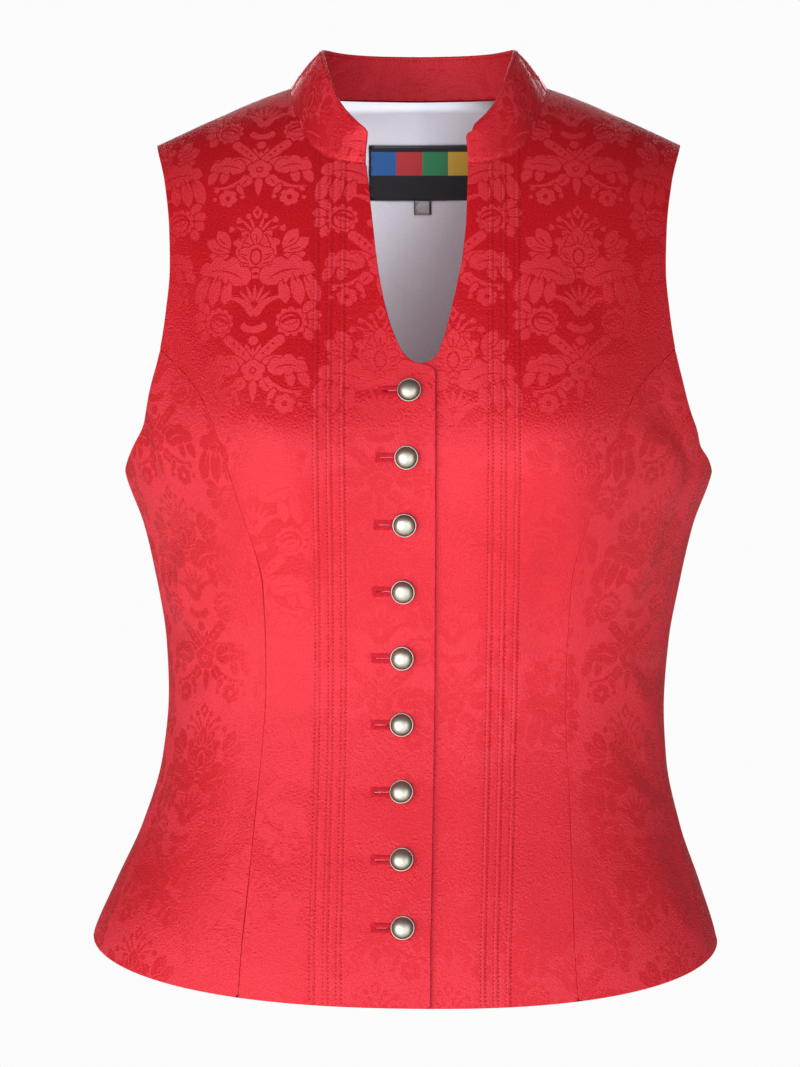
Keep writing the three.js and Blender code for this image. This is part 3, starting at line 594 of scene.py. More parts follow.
class Cut:
    """A piece's outline on the cutting table, where it lies on the form, and how its surface stands there."""

    def __init__(self, half, edges, weave=(0.0, 0.0), grain=0.0, reliefs=(), folds=()):
        self.half, self.weave, self.grain = half, weave, grain
        self.reliefs, self.folds = reliefs, folds
        laid = []
        for x, z in edges:
            x, z = np.broadcast_arrays(x, z)
            laid.append(stepped(half.lay(half.angle_at(x, z), z), CUT_STEP))
        self.ring = joined(*laid)

    def points(self, laid):
        """Points of the form under places on the table, and the ways out there."""
        angle, z = self.half.pick(laid)
        return self.half.place(angle, z), self.half.outward(angle, z)

    def threads(self, laid):
        """Where places lie in the weave, in mm across and up."""
        angle, z = self.half.pick(laid)
        middle = self.half.thread(np.full_like(z, math.radians(self.grain)), z)[:, 0]
        places = self.half.thread(angle, z)
        return places - np.stack([middle, 0 * middle], 1) - self.weave

    def unthread(self, places):
        """The cutting table's places of points in the weave."""
        up = places[:, 1] + self.weave[1]
        z = np.interp(up, self.half.upright, self.half.HEIGHTS)
        middle = self.half.thread(np.full_like(z, math.radians(self.grain)), z)[:, 0]
        angle, z = self.half.unthread(places[:, 0] + self.weave[0] + middle, up)
        return self.half.lay(angle, z)

    def relief(self, laid, folds=True):
        """How far the cloth stands off the form; folds are those of its face alone."""
        angle, z = self.half.pick(laid)
        x = self.half.x(angle, z)
        shapes = self.reliefs + (self.folds if folds else ())
        return sum((shape(laid, x, z) for shape in shapes), np.zeros(len(laid)))

    def axes(self, laid, out):
        """The ways round and up the cloth, and how much longer a step round is than on the table."""
        move = np.array([0.5, 0])
        round_ = self.points(laid + move)[0] - self.points(laid - move)[0]
        stretch = np.linalg.norm(round_, axis=1)
        round_ = round_ / stretch[:, None]
        return round_, np.cross(out, round_) * -self.half.way, stretch

    def surface(self, laid, folds=True):
        """Points on the cloth, the way out of it there with its relief, and the ways out of the form and round."""
        at, out = self.points(laid)
        round_, up, stretch = self.axes(laid, out)
        step = 0.15
        slope = [
            (self.relief(laid + move, folds) - self.relief(laid - move, folds)) / (2 * step)
            for move in (np.array([step, 0]), np.array([0, step]))
        ]
        leaned = out - round_ * (slope[0] / stretch)[:, None] - up * slope[1][:, None]
        return at + out * self.relief(laid, folds)[:, None], unit(leaned), out, round_, up


def beside(points, ring):
    """How far inside a ring each point is, and the way in from the nearest side."""
    start, side = ring, np.roll(ring, -1, axis=0) - ring
    length = np.linalg.norm(side, axis=1)
    inward = np.stack([-side[:, 1], side[:, 0]], 1) / length[:, None]
    depth, way, inside = [], [], []
    for some in np.array_split(points, max(1, len(points) // 3000)):
        to = some[:, None] - start
        share = np.clip((to * side).sum(2) / length**2, 0, 1)
        gap = np.linalg.norm(to - side * share[:, :, None], axis=2)
        nearest = gap.argmin(1)
        depth.append(gap[np.arange(len(some)), nearest])
        way.append(inward[nearest])
        y0, y1 = start[:, 1], np.roll(start[:, 1], -1)
        above = (y0 > some[:, 1:2]) != (y1 > some[:, 1:2])
        run = np.where(y1 == y0, 1, y1 - y0)
        cross = above & (some[:, :1] < start[:, 0] + (some[:, 1:2] - y0) / run * side[:, 0])
        inside.append(cross.sum(1) % 2 == 1)
    depth = np.concatenate(depth) * np.where(np.concatenate(inside), 1, -1)
    return depth, np.concatenate(way)


def drawn_in(ring, by):
    """A ring moved inwards, square to itself."""
    square = np.roll(ring, -1, axis=0) - np.roll(ring, 1, axis=0)
    square = np.stack([-square[:, 1], square[:, 0]], 1) / np.linalg.norm(square, axis=1, keepdims=True)
    return ring + square * by


def grid_in(ring, step):
    """Points of a staggered grid inside a ring."""
    low, high = ring.min(0), ring.max(0)
    rows = np.arange(low[1] + step / 2, high[1], step * 0.87)
    across = np.arange(low[0], high[0], step)
    points = [np.stack([across + (i % 2) * step / 2, np.full(len(across), y)], 1) for i, y in enumerate(rows)]
    points = np.concatenate(points)
    return points[beside(points, ring)[0] > step * 0.45]


def triangles(points, edges, faces):
    """Triangles through points, edges and faces, which input faces hold each, and each point's sources."""
    flat = [Vector(p) for p in points]
    corners, _, found, of_point, _, of_face = delaunay_2d_cdt(flat, edges, faces, 0, 1e-4, True)
    kept = [(f, o) for f, o in zip(found, of_face) if o and len(f) == 3]
    return np.array([tuple(c) for c in corners]), kept, of_point


def rim_of(found):
    """The edges that only one triangle has, each with its piece on the left."""
    edges = np.concatenate([found[:, (0, 1)], found[:, (1, 2)], found[:, (2, 0)]])
    key = edges.min(1).astype(np.int64) * (edges.max() + 1) + edges.max(1)
    _, first, count = np.unique(key, return_index=True, return_counts=True)
    return edges[first[count == 1]]


def rings_of(edges):
    """Edges end to end as rings of indices."""
    after = dict(edges.tolist())
    rings = []
    while after:
        start, at = after.popitem()
        ring = [start]
        while at != start:
            ring.append(at)
            at = after.pop(at)
        rings.append(ring)
    return rings


def motif_places(low, high):
    """Where the motif repeats within a box of the weave: columns across, every other one dropped by half."""
    reach = np.array([38, 72])  # the motif's own half width and half height
    first = np.floor((low - reach) / (REPEAT["across"], REPEAT["up"])).astype(int) - 1
    last = np.ceil((high + reach) / (REPEAT["across"], REPEAT["up"])).astype(int) + 1
    for column in range(first[0], last[0] + 1):
        for row in range(first[1], last[1] + 1):
            at = np.array([column * REPEAT["across"], (row - (column % 2) / 2) * REPEAT["up"]])
            if (at + reach > low).all() and (at - reach < high).all():
                yield at


def woven_faces(cut, ring):
    """The damask's shapes over a panel, laid on its table in weaving order."""
    laid = cut.threads(ring)
    for at in motif_places(laid.min(0), laid.max(0)):
        for outline, figure in motif_shapes():
            shape = cut.unthread(outline + at)
            if beside(shape, ring)[0].max() > 0 and abs(ring_area(shape)) > 0.05:
                yield (shape if ring_area(shape) > 0 else shape[::-1]), figure


def cut_faces(cut, ring, spacing, damask, lines=(), holes=(), edge_round=0.7):
    """A panel's face: its points on the table, its triangles, and which of them are figure."""
    points, edges, faces, tones = [ring], [], [list(range(len(ring)))], [None]
    count = len(ring)

    def more(some, closed=False, tone=None, drawn=False):
        nonlocal count
        points.append(some)
        index = list(range(count, count + len(some)))
        count += len(some)
        if closed:
            faces.append(index)
            tones.append(tone)
        elif drawn:
            edges.extend(zip(index, index[1:]))

    for row in EDGE_ROWS:
        inner = drawn_in(ring, row * edge_round)
        inner = np.append(inner, inner[:1], axis=0)
        held = beside(inner, ring)[0] > row * edge_round * 0.8
        for run in np.split(np.arange(len(inner)), np.nonzero(~held)[0]):
            if held[run].sum() > 1:
                more(inner[run[held[run]]], drawn=True)
    more(grid_in(ring, spacing))
    for line in lines:
        more(line, drawn=True)
    if damask:
        for shape, figure in woven_faces(cut, ring):
            more(shape, closed=True, tone=figure)
    for hole in holes:
        more(hole, closed=True, tone="hole")
    corners, found, _ = triangles(np.concatenate(points), edges, faces)
    kept, figures = [], []
    for corner, inside in found:
        if 0 not in inside:
            continue
        tone = tones[max(inside)]
        if tone != "hole":
            kept.append(corner)
            figures.append(bool(tone))
    kept = np.array(kept)
    used, kept = np.unique(kept, return_inverse=True)
    return corners[used], kept.reshape(-1, 3), np.array(figures)


def lining_faces(points, rim, spacing):
    """Plain triangles inside a rim: table points, triangles, and which point stands under each rim point."""
    rings = rings_of(rim)
    rings.sort(key=lambda ring: -abs(ring_area(points[ring])))
    index = np.concatenate(rings)
    flat = points[index]
    start, faces = 0, []
    for ring in rings:
        faces.append(list(range(start, start + len(ring))))
        start += len(ring)
    faces = [f if ring_area(flat[f]) > 0 else f[::-1] for f in faces]
    inner = grid_in(points[rings[0]], spacing)
    for ring in rings[1:]:
        inner = inner[np.abs(beside(inner, points[ring])[0]) > 0.5]
    corners, found, of_point = triangles(np.concatenate([flat, inner]), [], faces)
    kept = np.array([f for f, inside in found if inside == [0]])
    under = {}
    for i, sources in enumerate(of_point):
        for source in sources:
            if source < len(index):
                under[int(index[source])] = i
    return corners, kept, under


# ---- Sewing: from a cut to a closed piece of cloth -----------------------------------------------------


def plain_mesh(name, points, faces, material, normals=None, uv=None, figure=None):
    """A mesh object in metres at the origin, from points in mm."""
    mesh = bpy.data.meshes.new(name)
    mesh.vertices.add(len(points))
    mesh.vertices.foreach_set("co", (np.asarray(points) * MM).astype(np.float32).ravel())
    mesh.loops.add(faces.size)
    mesh.loops.foreach_set("vertex_index", faces.ravel().astype(np.int32))
    mesh.polygons.add(len(faces))
    mesh.polygons.foreach_set("loop_start", np.arange(0, faces.size, faces.shape[1], dtype=np.int32))
    mesh.update(calc_edges=True)
    mesh.polygons.foreach_set("use_smooth", np.ones(len(faces), bool))
    if uv is not None:
        layer = mesh.uv_layers.new(name="weave")
        layer.uv.foreach_set("vector", (uv[faces.ravel()] * MM).astype(np.float32).ravel())
    if figure is not None:
        mesh.attributes.new("figure", "FLOAT", "FACE").data.foreach_set("value", figure.astype(np.float32))
    mesh.validate()
    if normals is not None:
        mesh.normals_split_custom_set_from_vertices(normals.astype(np.float32))
    mesh.materials.append(material)
    made = bpy.data.objects.new(name, mesh)
    bpy.context.scene.collection.objects.link(made)
    return made


TURNED = (1.1, 0.7)  # how far the back lies from the face in the weave, so that the edges have threads too


def sew(
    name, cut, material, thick, spacing, edge_round, *,
    mirrored=False, damask=True, lines=(), holes=(), lift=0.0, inside=False,
):
    """A closed piece: its face, its back and its rounded edge. inside weaves the back as well."""
    points, faces, figure = cut_faces(cut, cut.ring, spacing, damask, lines, holes, edge_round)
    rim = rim_of(faces)
    if inside:
        under, below = {i: i for i in range(len(points))}, points
        back_faces, back_figure = faces, figure
    else:
        below, back_faces, under = lining_faces(points, rim, spacing * 1.5)
        back_figure = np.zeros(len(back_faces), bool)

    def side(laid, drop, folds):
        at, leaned, out, round_, up = cut.surface(laid, folds)
        depth, way = beside(laid, cut.ring)
        share = np.clip(1 - depth / edge_round, 0, 1)[:, None]
        rest = np.sqrt(1 - share**2)
        edge = round_ * way[:, :1] + up * way[:, 1:]
        turn = edge_round * (1 - rest)
        if drop:
            return at + out * (lift - drop + turn), unit(-leaned * rest - edge * share)
        return at + out * (lift - turn), unit(leaned * rest - edge * share)

    face_at, face_out = side(points, 0, True)
    back_at, back_out = side(below, thick, inside)
    shift = len(points)
    under = np.array([[under[a], under[b]] for a, b in rim]) + shift
    start, end = rim.T
    wall = np.concatenate([
        np.stack([start, under[:, 0], under[:, 1]], 1),
        np.stack([start, under[:, 1], end], 1),
    ])
    every = np.concatenate([faces, back_faces[:, ::-1] + shift, wall])
    tones = np.concatenate([figure, back_figure, np.zeros(len(wall), bool)])
    at = np.concatenate([face_at, back_at])
    out = np.concatenate([face_out, back_out])
    uv = cut.threads(np.concatenate([points, below + np.array(TURNED) * damask]))
    if cut.half.back != mirrored:
        every = every[:, ::-1]
    if mirrored:
        at, out = at * (-1, 1, 1), out * (-1, 1, 1)
    return plain_mesh(name, swing(at), every, material, out, uv, tones)


# ---- Reliefs: tucks, the underlap and the creases -------------------------------------------------------


def tuck_folds(laid, x, z):
    """Three pin tucks, each a soft ridge between two sunk rows of stitches."""
    sizes = bpy.context.scene.bodice_sewing
    high = 0
    for at in TUCK_X:
        away = np.abs(x - at * narrowed(z)) / (TUCK["wide"] / 2)
        ridge = np.where(away < 1, np.cos(math.pi / 2 * np.minimum(away, 1)) ** 2, 0)
        high = high + sizes.tuck_high / MM * ridge
        high = high - TUCK["sunk"] * np.exp(-(((away - 1) / TUCK["soft"]) ** 2))
    return high


def underlap(laid, x, z):
    """The left front passes under the right, and comes up again beside it."""
    return -UNDERLAP["depth"] * (1 - smooth((x - UNDERLAP["from"]) / UNDERLAP["over"]))


def trough(laid, middle, lean, long, sway, rate, start):
    """Where places lie along one swaying crease, as a share of its length, and across it in mm, and how deep
    it still is there."""
    c, s = math.cos(math.radians(lean)), math.sin(math.radians(lean))
    down = ((laid - middle) @ (c, s)) / long
    across = (laid - middle) @ (-s, c) - sway * long * np.sin(rate * down + start)
    return down, across, smooth(1.4 - np.abs(down) * 1.4)


CREASES = (
    # piece, side (1 the wearer's left, -1 right, 0 both), turn, z, long, wide, lean, deep
    ("front", -1, 27, -250, 46, 12, 64, 0.9),
    ("front", -1, 31, -318, 60, 11, 78, 0.8),
    ("front", -1, 22, -372, 40, 10, 12, 0.5),
    ("front", -1, 10, -300, 40, 9, 8, 0.35),
    ("front", 1, 21, -262, 60, 14, 116, 1.3),
    ("front", 1, 27, -318, 52, 10, 104, 0.9),
    ("front", 1, 20, -352, 40, 9, 164, 0.6),
    ("front", 1, 24, -392, 46, 11, 14, 0.5),
    ("front", 0, 25, -470, 60, 16, 80, 0.5),
    ("front", 0, 30, -120, 50, 14, 120, 0.6),
    ("front", 0, 38, -84, 44, 12, 30, 0.6),
    ("side_front", -1, 62, -214, 44, 9, 58, 1.7),
    ("side_front", -1, 52, -236, 36, 8, 20, 0.9),
    ("side_front", -1, 60, -278, 50, 12, 156, 1.1),
    ("side_front", -1, 72, -318, 44, 10, 18, 1.8),
    ("side_front", -1, 58, -350, 40, 9, 160, 1.0),
    ("side_front", -1, 66, -392, 48, 12, 26, 1.2),
    ("side_front", -1, 64, -452, 52, 12, 64, 1.2),
    ("side_front", 1, 54, -208, 40, 9, 128, 1.6),
    ("side_front", 1, 70, -222, 34, 8, 46, 1.3),
    ("side_front", 1, 63, -262, 60, 13, 96, 1.5),
    ("side_front", 1, 56, -312, 44, 10, 24, 1.0),
    ("side_front", 1, 70, -352, 44, 11, 160, 1.4),
    ("side_front", 1, 60, -404, 50, 12, 150, 1.1),
    ("side_front", 1, 66, -464, 56, 13, 112, 1.2),
    ("side_back", 0, 60, -220, 46, 11, 50, 1.3),
    ("side_back", 0, 68, -300, 50, 12, 160, 1.2),
    ("side_back", -1, 56, -352, 44, 10, 20, 1.3),
    ("side_back", 1, 62, -368, 50, 11, 152, 1.2),
    ("side_back", 0, 60, -450, 54, 13, 76, 1.1),
    ("back", 0, 26, -360, 56, 12, 12, 1.1),
    ("back", 0, -24, -384, 50, 11, 166, 1.0),
    ("back", 0, 8, -338, 60, 12, 4, 0.8),
    ("back", 0, 38, -200, 60, 14, 124, 1.2),
    ("back", 0, -36, -190, 60, 14, 58, 1.2),
    ("back", 0, 12, -470, 60, 16, 84, 0.8),
    ("back", 0, -16, -480, 56, 15, 98, 0.8),
    ("back", 0, 42, -96, 50, 13, 40, 0.9),
    ("back", 0, -44, -88, 50, 12, 146, 0.9),
)


def creases(piece, side, half):
    """The soft uneven troughs of one piece."""
    rows = [row[2:] for row in CREASES if row[0] == piece and row[1] in (0, side)]

    def high(laid, x, z):
        total = np.zeros(len(laid))
        for i, (turn, at_z, long, wide, lean, deep) in enumerate(rows):
            middle = half.lay(np.array([math.radians(turn)]), np.array([float(at_z)]))
            down, across, end = trough(laid, middle, lean, long, 0.12, 2.4, 1.7 * i)
            broad = wide * (1 + 0.3 * np.sin(3.1 * down + 2.3 * i))
            beside_it = 0.4 * np.exp(-(((across - 1.9 * broad) / broad) ** 2))
            total -= deep * end * (np.exp(-((across / broad) ** 2)) - beside_it)
        return total

    return high


def button_pulls(laid, x, z):
    """The cloth draws in a little towards each button, and more towards every third."""
    total = 0
    for i in range(BUTTON["count"]):
        at = BUTTON["top"] - i * BUTTON["pitch"]
        slant = (z - at) - 0.08 * (x - 8)
        deep = 0.3 * (1 if i % 3 else 1.5)
        total = total - deep * np.exp(-((slant / 4.5) ** 2)) * np.exp(-(((x - 22) / 17) ** 2))
    return total


# ---- The pieces' cuts, drawn for the wearer's left -------------------------------------------------------

front_seam = along(FRONT_SEAM, "z", "x")
back_seam = along(BACK_SEAM, "z", "x")
arm_front = along(ARMHOLE_FRONT, "z", "x")
arm_back = along(ARMHOLE_BACK, "z", "x")
neck_front = along(NECK_FRONT, "x", "z")
opening = {"right": along(NECK_OPENING, "z", "right"), "left": along(NECK_OPENING, "z", "left")}
overlap = curve(np.array([-600.0, OVERLAP["top_z"]]), np.array([OVERLAP["hem"], OVERLAP["top"]]))


MOTIF_AT = {"front": (21, -197), "side_front": (-16, -300), "side_back": (6, -262), "back": (0, -130)}
SIDE_GRAIN = 62  # the side panels' grain runs up the form at this angle from its middle, in degrees


def motif_at(half, piece):
    """The weave's place of a motif's middle on a piece, from how far across its grain line it is and its height."""
    across, z = MOTIF_AT[piece]
    return float(across), half.thread(np.array([0.0]), np.array([float(z)]))[0, 1]


def hem_end(half, edge):
    """The angle at which an edge, its x by height, reaches the hem."""
    z = np.array([float(HEM["side"])])
    for _ in range(8):
        angle = half.angle_at(edge(z), z)
        z = hem_height(angle, half.back)
    return angle[0]


def hem_line(half, start, end):
    """The hem's points from one angle to another."""
    angle = np.linspace(start, end, 160)
    z = hem_height(angle, half.back)
    return half.x(angle, z), z


def fall(edge, top, bottom):
    """An edge's points from a height to another, by its x at each."""
    z = np.linspace(top, bottom, 240)
    return edge(z) + 0 * z, z


def neck_corner(z):
    """The short edge from the shoulder's end at the neck to the height where the neck's own line starts."""
    return np.full(2, float(NECK_X)), np.array([float(shoulder_z(NECK_X)), float(z)])


def front_cut(left):
    """A front: the left reaches under the right as an underlap."""
    name = "left" if left else "right"
    edge = (lambda z: 0 * z - UNDERLAP["reach"]) if left else (lambda z: -overlap(z))
    start, seam = hem_end(FRONT, edge), hem_end(FRONT, front_seam)
    foot = hem_height(np.array([start, seam]), False)
    neck = np.linspace(NECK_X, 30, 120)
    shoulder = np.linspace(TIP_X, NECK_X, 120)
    lip, low = NECK_OPENING["z"][1], OVERLAP["top_z"] - OVERLAP["corner"]
    turn = np.linspace(0, math.pi / 2, 8)
    edges = (
        hem_line(FRONT, start, seam),
        fall(front_seam, foot[1], JUNCTION["front"]),
        fall(arm_front, JUNCTION["front"], SHOULDER["z"][-1]),
        (shoulder, shoulder_z(shoulder)),
        neck_corner(neck_front(NECK_X)),
        (neck, neck_front(neck)),
        fall(opening[name], NECK_OPENING["z"][-1], lip),
        (lerp(opening[name](lip), edge(low), np.sin(turn)), lerp(low, lip, np.cos(turn))),
        fall(edge, low, foot[0]),
    )
    reliefs = (creases("front", 1 if left else -1, FRONT), underlap if left else button_pulls)
    return Cut(FRONT, edges, motif_at(FRONT, "front"), reliefs=reliefs, folds=(tuck_folds,))


def side_cut(half, side):
    """A side panel, from the princess seam or the back seam to the side seam."""
    back = half.back
    seam, arm = (back_seam, arm_back) if back else (front_seam, arm_front)
    junction = JUNCTION["back" if back else "front"]
    start = hem_end(half, seam)
    foot = hem_height(np.array([start]), back)[0]
    low = hem_height(np.array([math.pi / 2]), back)[0]
    edges = (
        hem_line(half, start, math.pi / 2),
        fall(ring_width, low, UNDERARM_Z),
        fall(arm, UNDERARM_Z, junction),
        fall(seam, junction, foot),
    )
    piece = "side_back" if back else "side_front"
    return Cut(half, edges, motif_at(half, piece), SIDE_GRAIN, (creases(piece, side, half),))


def back_cut():
    """The centre back, both sides in one."""
    end = hem_end(BACK, back_seam)
    foot = hem_height(np.array([end]), True)[0]
    flip = lambda line: (-line[0][::-1], line[1][::-1])
    across = np.linspace(NECK_X, -NECK_X, 160)
    shoulder = np.linspace(TIP_X, NECK_X, 120)
    seam = fall(back_seam, foot, JUNCTION["back"])
    arm = fall(arm_back, JUNCTION["back"], SHOULDER["z"][-1])
    top, corner = (shoulder, shoulder_z(shoulder)), neck_corner(NECK_BACK_Z)
    edges = (
        hem_line(BACK, -end, end), seam, arm, top, corner,
        (across, 0 * across + NECK_BACK_Z),
        flip(corner), flip(top), flip(arm), flip(seam),
    )
    return Cut(BACK, edges, motif_at(BACK, "back"), reliefs=(creases("back", 0, BACK),))


def collar_edge(rows):
    """The collar's upper edge by the place on the seam below it."""
    curves = [along(rows, "seam", key) for key in "xyz"]
    return lambda seam: np.stack([one(seam) for one in curves], 1)


class CollarCut(Cut):
    """The stand collar: round its seam from the wearer's left end to the right, and up."""

    def __init__(self):
        self.half = FRONT
        seam = np.concatenate([np.linspace(30, NECK_X, 160), np.linspace(NECK_X - 0.01, 0, 200)])
        front = np.arange(len(seam)) < 160
        x, z = np.where(front, seam, 0), np.where(front, neck_front(seam), NECK_BACK_Z)
        low = np.where(front[:, None], FRONT.place(FRONT.angle_at(seam, z), z), BACK.place(BACK.angle_at(seam, z), z))
        high = np.where(front[:, None], collar_edge(COLLAR_FRONT)(seam), collar_edge(COLLAR_BACK)(seam))
        both = lambda line: np.concatenate([line, line[-2::-1] * (-1, 1, 1)])
        low, high = both(low), both(high)
        run = np.append(0, np.cumsum(np.linalg.norm(np.diff((low + high) / 2, axis=0), axis=1)))
        self.run = np.arange(0, run[-1], 1.0)
        self.low, self.high = (
            np.stack([np.interp(self.run, run, line[:, i]) for i in range(3)], 1) for line in (low, high)
        )
        sewn = self.low.copy()
        for line, rounds in ((self.low, COLLAR["low_rounds"]), (self.high, COLLAR["high_rounds"])):
            for _ in range(rounds):
                line[1:-1] = (line[:-2] + 2 * line[1:-1] + line[2:]) / 4
        self.tall = np.linalg.norm(self.high - self.low, axis=1)
        self.out = unit(np.cross(np.gradient((self.low + self.high) / 2, axis=0), self.high - self.low))
        end = self.run[-1]
        # Where rounding drew the foot off the neck's corners, it reaches further down under the shoulders.
        drawn_off = np.linalg.norm(self.low - sewn, axis=1)
        foot = np.stack([self.run, -COLLAR["sunk"] - COLLAR["reach"] * drawn_off], 1)
        top = np.stack([self.run, self.tall], 1)[::-1]
        left, right = COLLAR["corners"]
        ends = [round_end(foot[-1], top[0], right, -1), round_end(foot[0], top[-1], left, 1)]
        top = top[(top[:, 0] > left) & (top[:, 0] < end - right)]
        self.ring = joined(stepped(foot, COLLAR["foot_step"]), ends[0], stepped(top, CUT_STEP), ends[1])

    def at(self, laid, line):
        """A line's values over places on the table."""
        return np.stack([np.interp(laid[:, 0], self.run, line[:, i]) for i in range(line.shape[1])], 1)

    def points(self, laid):
        rise = laid[:, 1:] / np.interp(laid[:, 0], self.run, self.tall)[:, None]
        out = self.at(laid, self.out)
        bow = COLLAR["bow"] * 4 * rise * (1 - rise)
        return lerp(self.at(laid, self.low), self.at(laid, self.high), rise) + out * bow, unit(out)

    def threads(self, laid):
        return laid - (self.run[-1] / 2, -12.0)

    def unthread(self, places):
        return places + (self.run[-1] / 2, -12.0)

    def relief(self, laid, folds=True):
        total = -0.35 * np.exp(-(((laid[:, 1] - 1.4) / 1.1) ** 2))
        for i, (at, up, long, wide, lean, deep) in enumerate(COLLAR_CREASES):
            _, across, end = trough(laid, (at, up), lean, long, 0.1, 2, i)
            total -= deep * end * np.exp(-((across / wide) ** 2))
        end = self.run[-1] - laid[:, 0]
        tip = np.exp(-((end / 7) ** 2)) * smooth((laid[:, 1] - 14) / 14)
        return total + 2.6 * tip


COLLAR = {
    "wall": 2.2,
    "bow": 1.2,
    "edge": 0.95,
    "grid": 3.5,
    "corners": (4.5, 1.4),  # the wearer's left and right
    "sunk": 0.75,  # how far the foot lies under the neck edge
    "reach": 3.2,  # how much further, for each mm that rounding drew it off
    "foot_step": 1.0,
    "low_rounds": 3,  # how often its seam line is rounded, and how often its upper edge
    "high_rounds": 30,
    "stitched": 2.4,  # in from the upper edge
}
COLLAR_CREASES = (
    # along and up the collar, long, wide, lean, deep
    (30, 18, 16, 4, 60, 0.5),
    (62, 14, 20, 5, 110, 0.7),
    (92, 16, 18, 4, 66, 0.6),
    (128, 18, 22, 5, 20, 0.4),
    (166, 15, 20, 5, 160, 0.4),
    (205, 16, 18, 4, 116, 0.6),
    (236, 13, 20, 5, 70, 0.7),
    (266, 17, 16, 4, 124, 0.5),
)


def round_end(foot, top, corner, way):
    """A collar's end from its seam up and round its corner, or back down."""
    up = np.linspace(foot[1], top[1] - corner, 10)
    a = np.linspace(0, math.pi / 2, 6)[1:]
    line = np.concatenate([
        np.stack([0 * up + foot[0], up], 1),
        np.stack([foot[0] + way * corner * (1 - np.cos(a)), top[1] - corner + corner * np.sin(a)], 1),
    ])
    return line if way < 0 else line[::-1]


# ---- Materials -----------------------------------------------------------------------------------------


def linear(colour):
    """An sRGB hex colour as linear red, green, blue and alpha."""
    parts = [int(colour[i : i + 2], 16) / 255 for i in (1, 3, 5)]
    return (*(c / 12.92 if c <= 0.04045 else ((c + 0.055) / 1.055) ** 2.4 for c in parts), 1.0)


def add(tree, kind, inputs=None, **settings):
    """Adds a node with its settings; an input is given a value or linked from another node's output."""
    made = tree.nodes.new(kind)
    for key, value in settings.items():
        setattr(made, key, value)
    for key, value in (inputs or {}).items():
        if isinstance(value, bpy.types.NodeSocket):
            tree.links.new(value, made.inputs[key])
        else:
            made.inputs[key].default_value = value
    return made


def finish_material(name, build):
    """A material by its name, made once: build gives the shader's output from an empty tree."""
    made = bpy.data.materials.get(name)
    if made is None:
        made = bpy.data.materials.new(name)
        made.use_nodes = True
        made.node_tree.nodes.clear()
        add(made.node_tree, "ShaderNodeOutputMaterial", {"Surface": build(made.node_tree).outputs[0]})
    return made


def satin_damask():
    """Damask of filament yarn: warp satin for the ground and weft satin for the figure, so each shines across
    its own floats. The floats lie upright in the ground, which shines at any turn but only where it stands
    upright; they lie level in the figure, which shines at any slope but only where it faces the light."""
    colours = bpy.context.scene.bodice_colours

    def build(tree):
        figure = add(tree, "ShaderNodeAttribute", attribute_name="figure").outputs["Fac"]
        weave = add(tree, "ShaderNodeUVMap", uv_map="weave").outputs["UV"]
        # Floats are 0.1 mm yarns; they are drawn about 0.5 mm wide and 3 mm long, so that they show.
        streaks = []
        for scale in ((2000, 340, 1), (340, 2000, 1)):
            placed = add(tree, "ShaderNodeMapping", {"Vector": weave, "Scale": scale}).outputs[0]
            streak = add(tree, "ShaderNodeTexNoise", {"Vector": placed, "Scale": 1.0, "Detail": 2.0})
            streaks.append(streak.outputs["Fac"])
        floats = {"Factor": figure, 2: streaks[0], 3: streaks[1]}
        floats = add(tree, "ShaderNodeMix", floats, data_type="FLOAT").outputs[0]
        cloudy = add(tree, "ShaderNodeTexNoise", {"Vector": weave, "Scale": 28.0, "Detail": 3.0}).outputs["Fac"]
        # Painted sheen: the figure's colour is a little lighter than the ground's, so that the pattern still shows
        # where the satin's shine is lost.
        base = add(
            tree,
            "ShaderNodeMix",
            {"Factor": figure, 6: tuple(colours.ground) + (1,), 7: tuple(colours.figure) + (1,)},
            data_type="RGBA",
        ).outputs[2]
        shade = {"Value": floats, "From Min": 0.25, "From Max": 0.75, "To Min": 0.86, "To Max": 1.14}
        shade = add(tree, "ShaderNodeMapRange", shade).outputs[0]
        base = add(tree, "ShaderNodeVectorMath", {0: base, "Scale": shade}, operation="SCALE").outputs[0]
        # Painted highlights: each float's end is drawn as a paler speck in the base colour, where it would catch the
        # light; they are drawn 1 mm apart.
        glint_specks = add(tree, "ShaderNodeTexNoise", {"Vector": weave, "Scale": 1000.0, "Detail": 2.0}).outputs["Fac"]
        pale = {"Value": glint_specks, "From Min": 0.36, "From Max": 0.64, "To Min": 0.0, "To Max": 0.1}
        pale = add(tree, "ShaderNodeMapRange", pale).outputs[0]
        base = {"Factor": pale, 6: base, 7: linear("#D04650")}
        base = add(tree, "ShaderNodeMix", base, data_type="RGBA").outputs[2]
        rough = add(tree, "ShaderNodeMapRange", {"Value": cloudy, "To Min": 0.44, "To Max": 0.52}).outputs[0]
        pebble = add(tree, "ShaderNodeTexNoise", {"Vector": weave, "Scale": 700.0, "Detail": 2.0}).outputs["Fac"]
        uneven = add(tree, "ShaderNodeMath", {0: floats, 1: pebble}, operation="ADD").outputs[0]
        bump = add(tree, "ShaderNodeBump", {"Strength": 0.8, "Distance": 0.00045, "Height": uneven}).outputs[0]
        turned = add(tree, "ShaderNodeMath", {0: figure, 1: 0.25}, operation="MULTIPLY").outputs[0]
        tangent = add(tree, "ShaderNodeTangent", direction_type="UV_MAP", uv_map="weave").outputs[0]
        return add(
            tree,
            "ShaderNodeBsdfPrincipled",
            {
                "Base Color": base,
                "Roughness": rough,
                "IOR": 1.8,
                "Specular IOR Level": 1.0,
                "Specular Tint": linear("#F0697A"),
                "Anisotropic": 0.95,
                "Anisotropic Rotation": turned,
                "Tangent": tangent,
                "Normal": bump,
            },
        )

    return finish_material("silk_damask_satin", build)


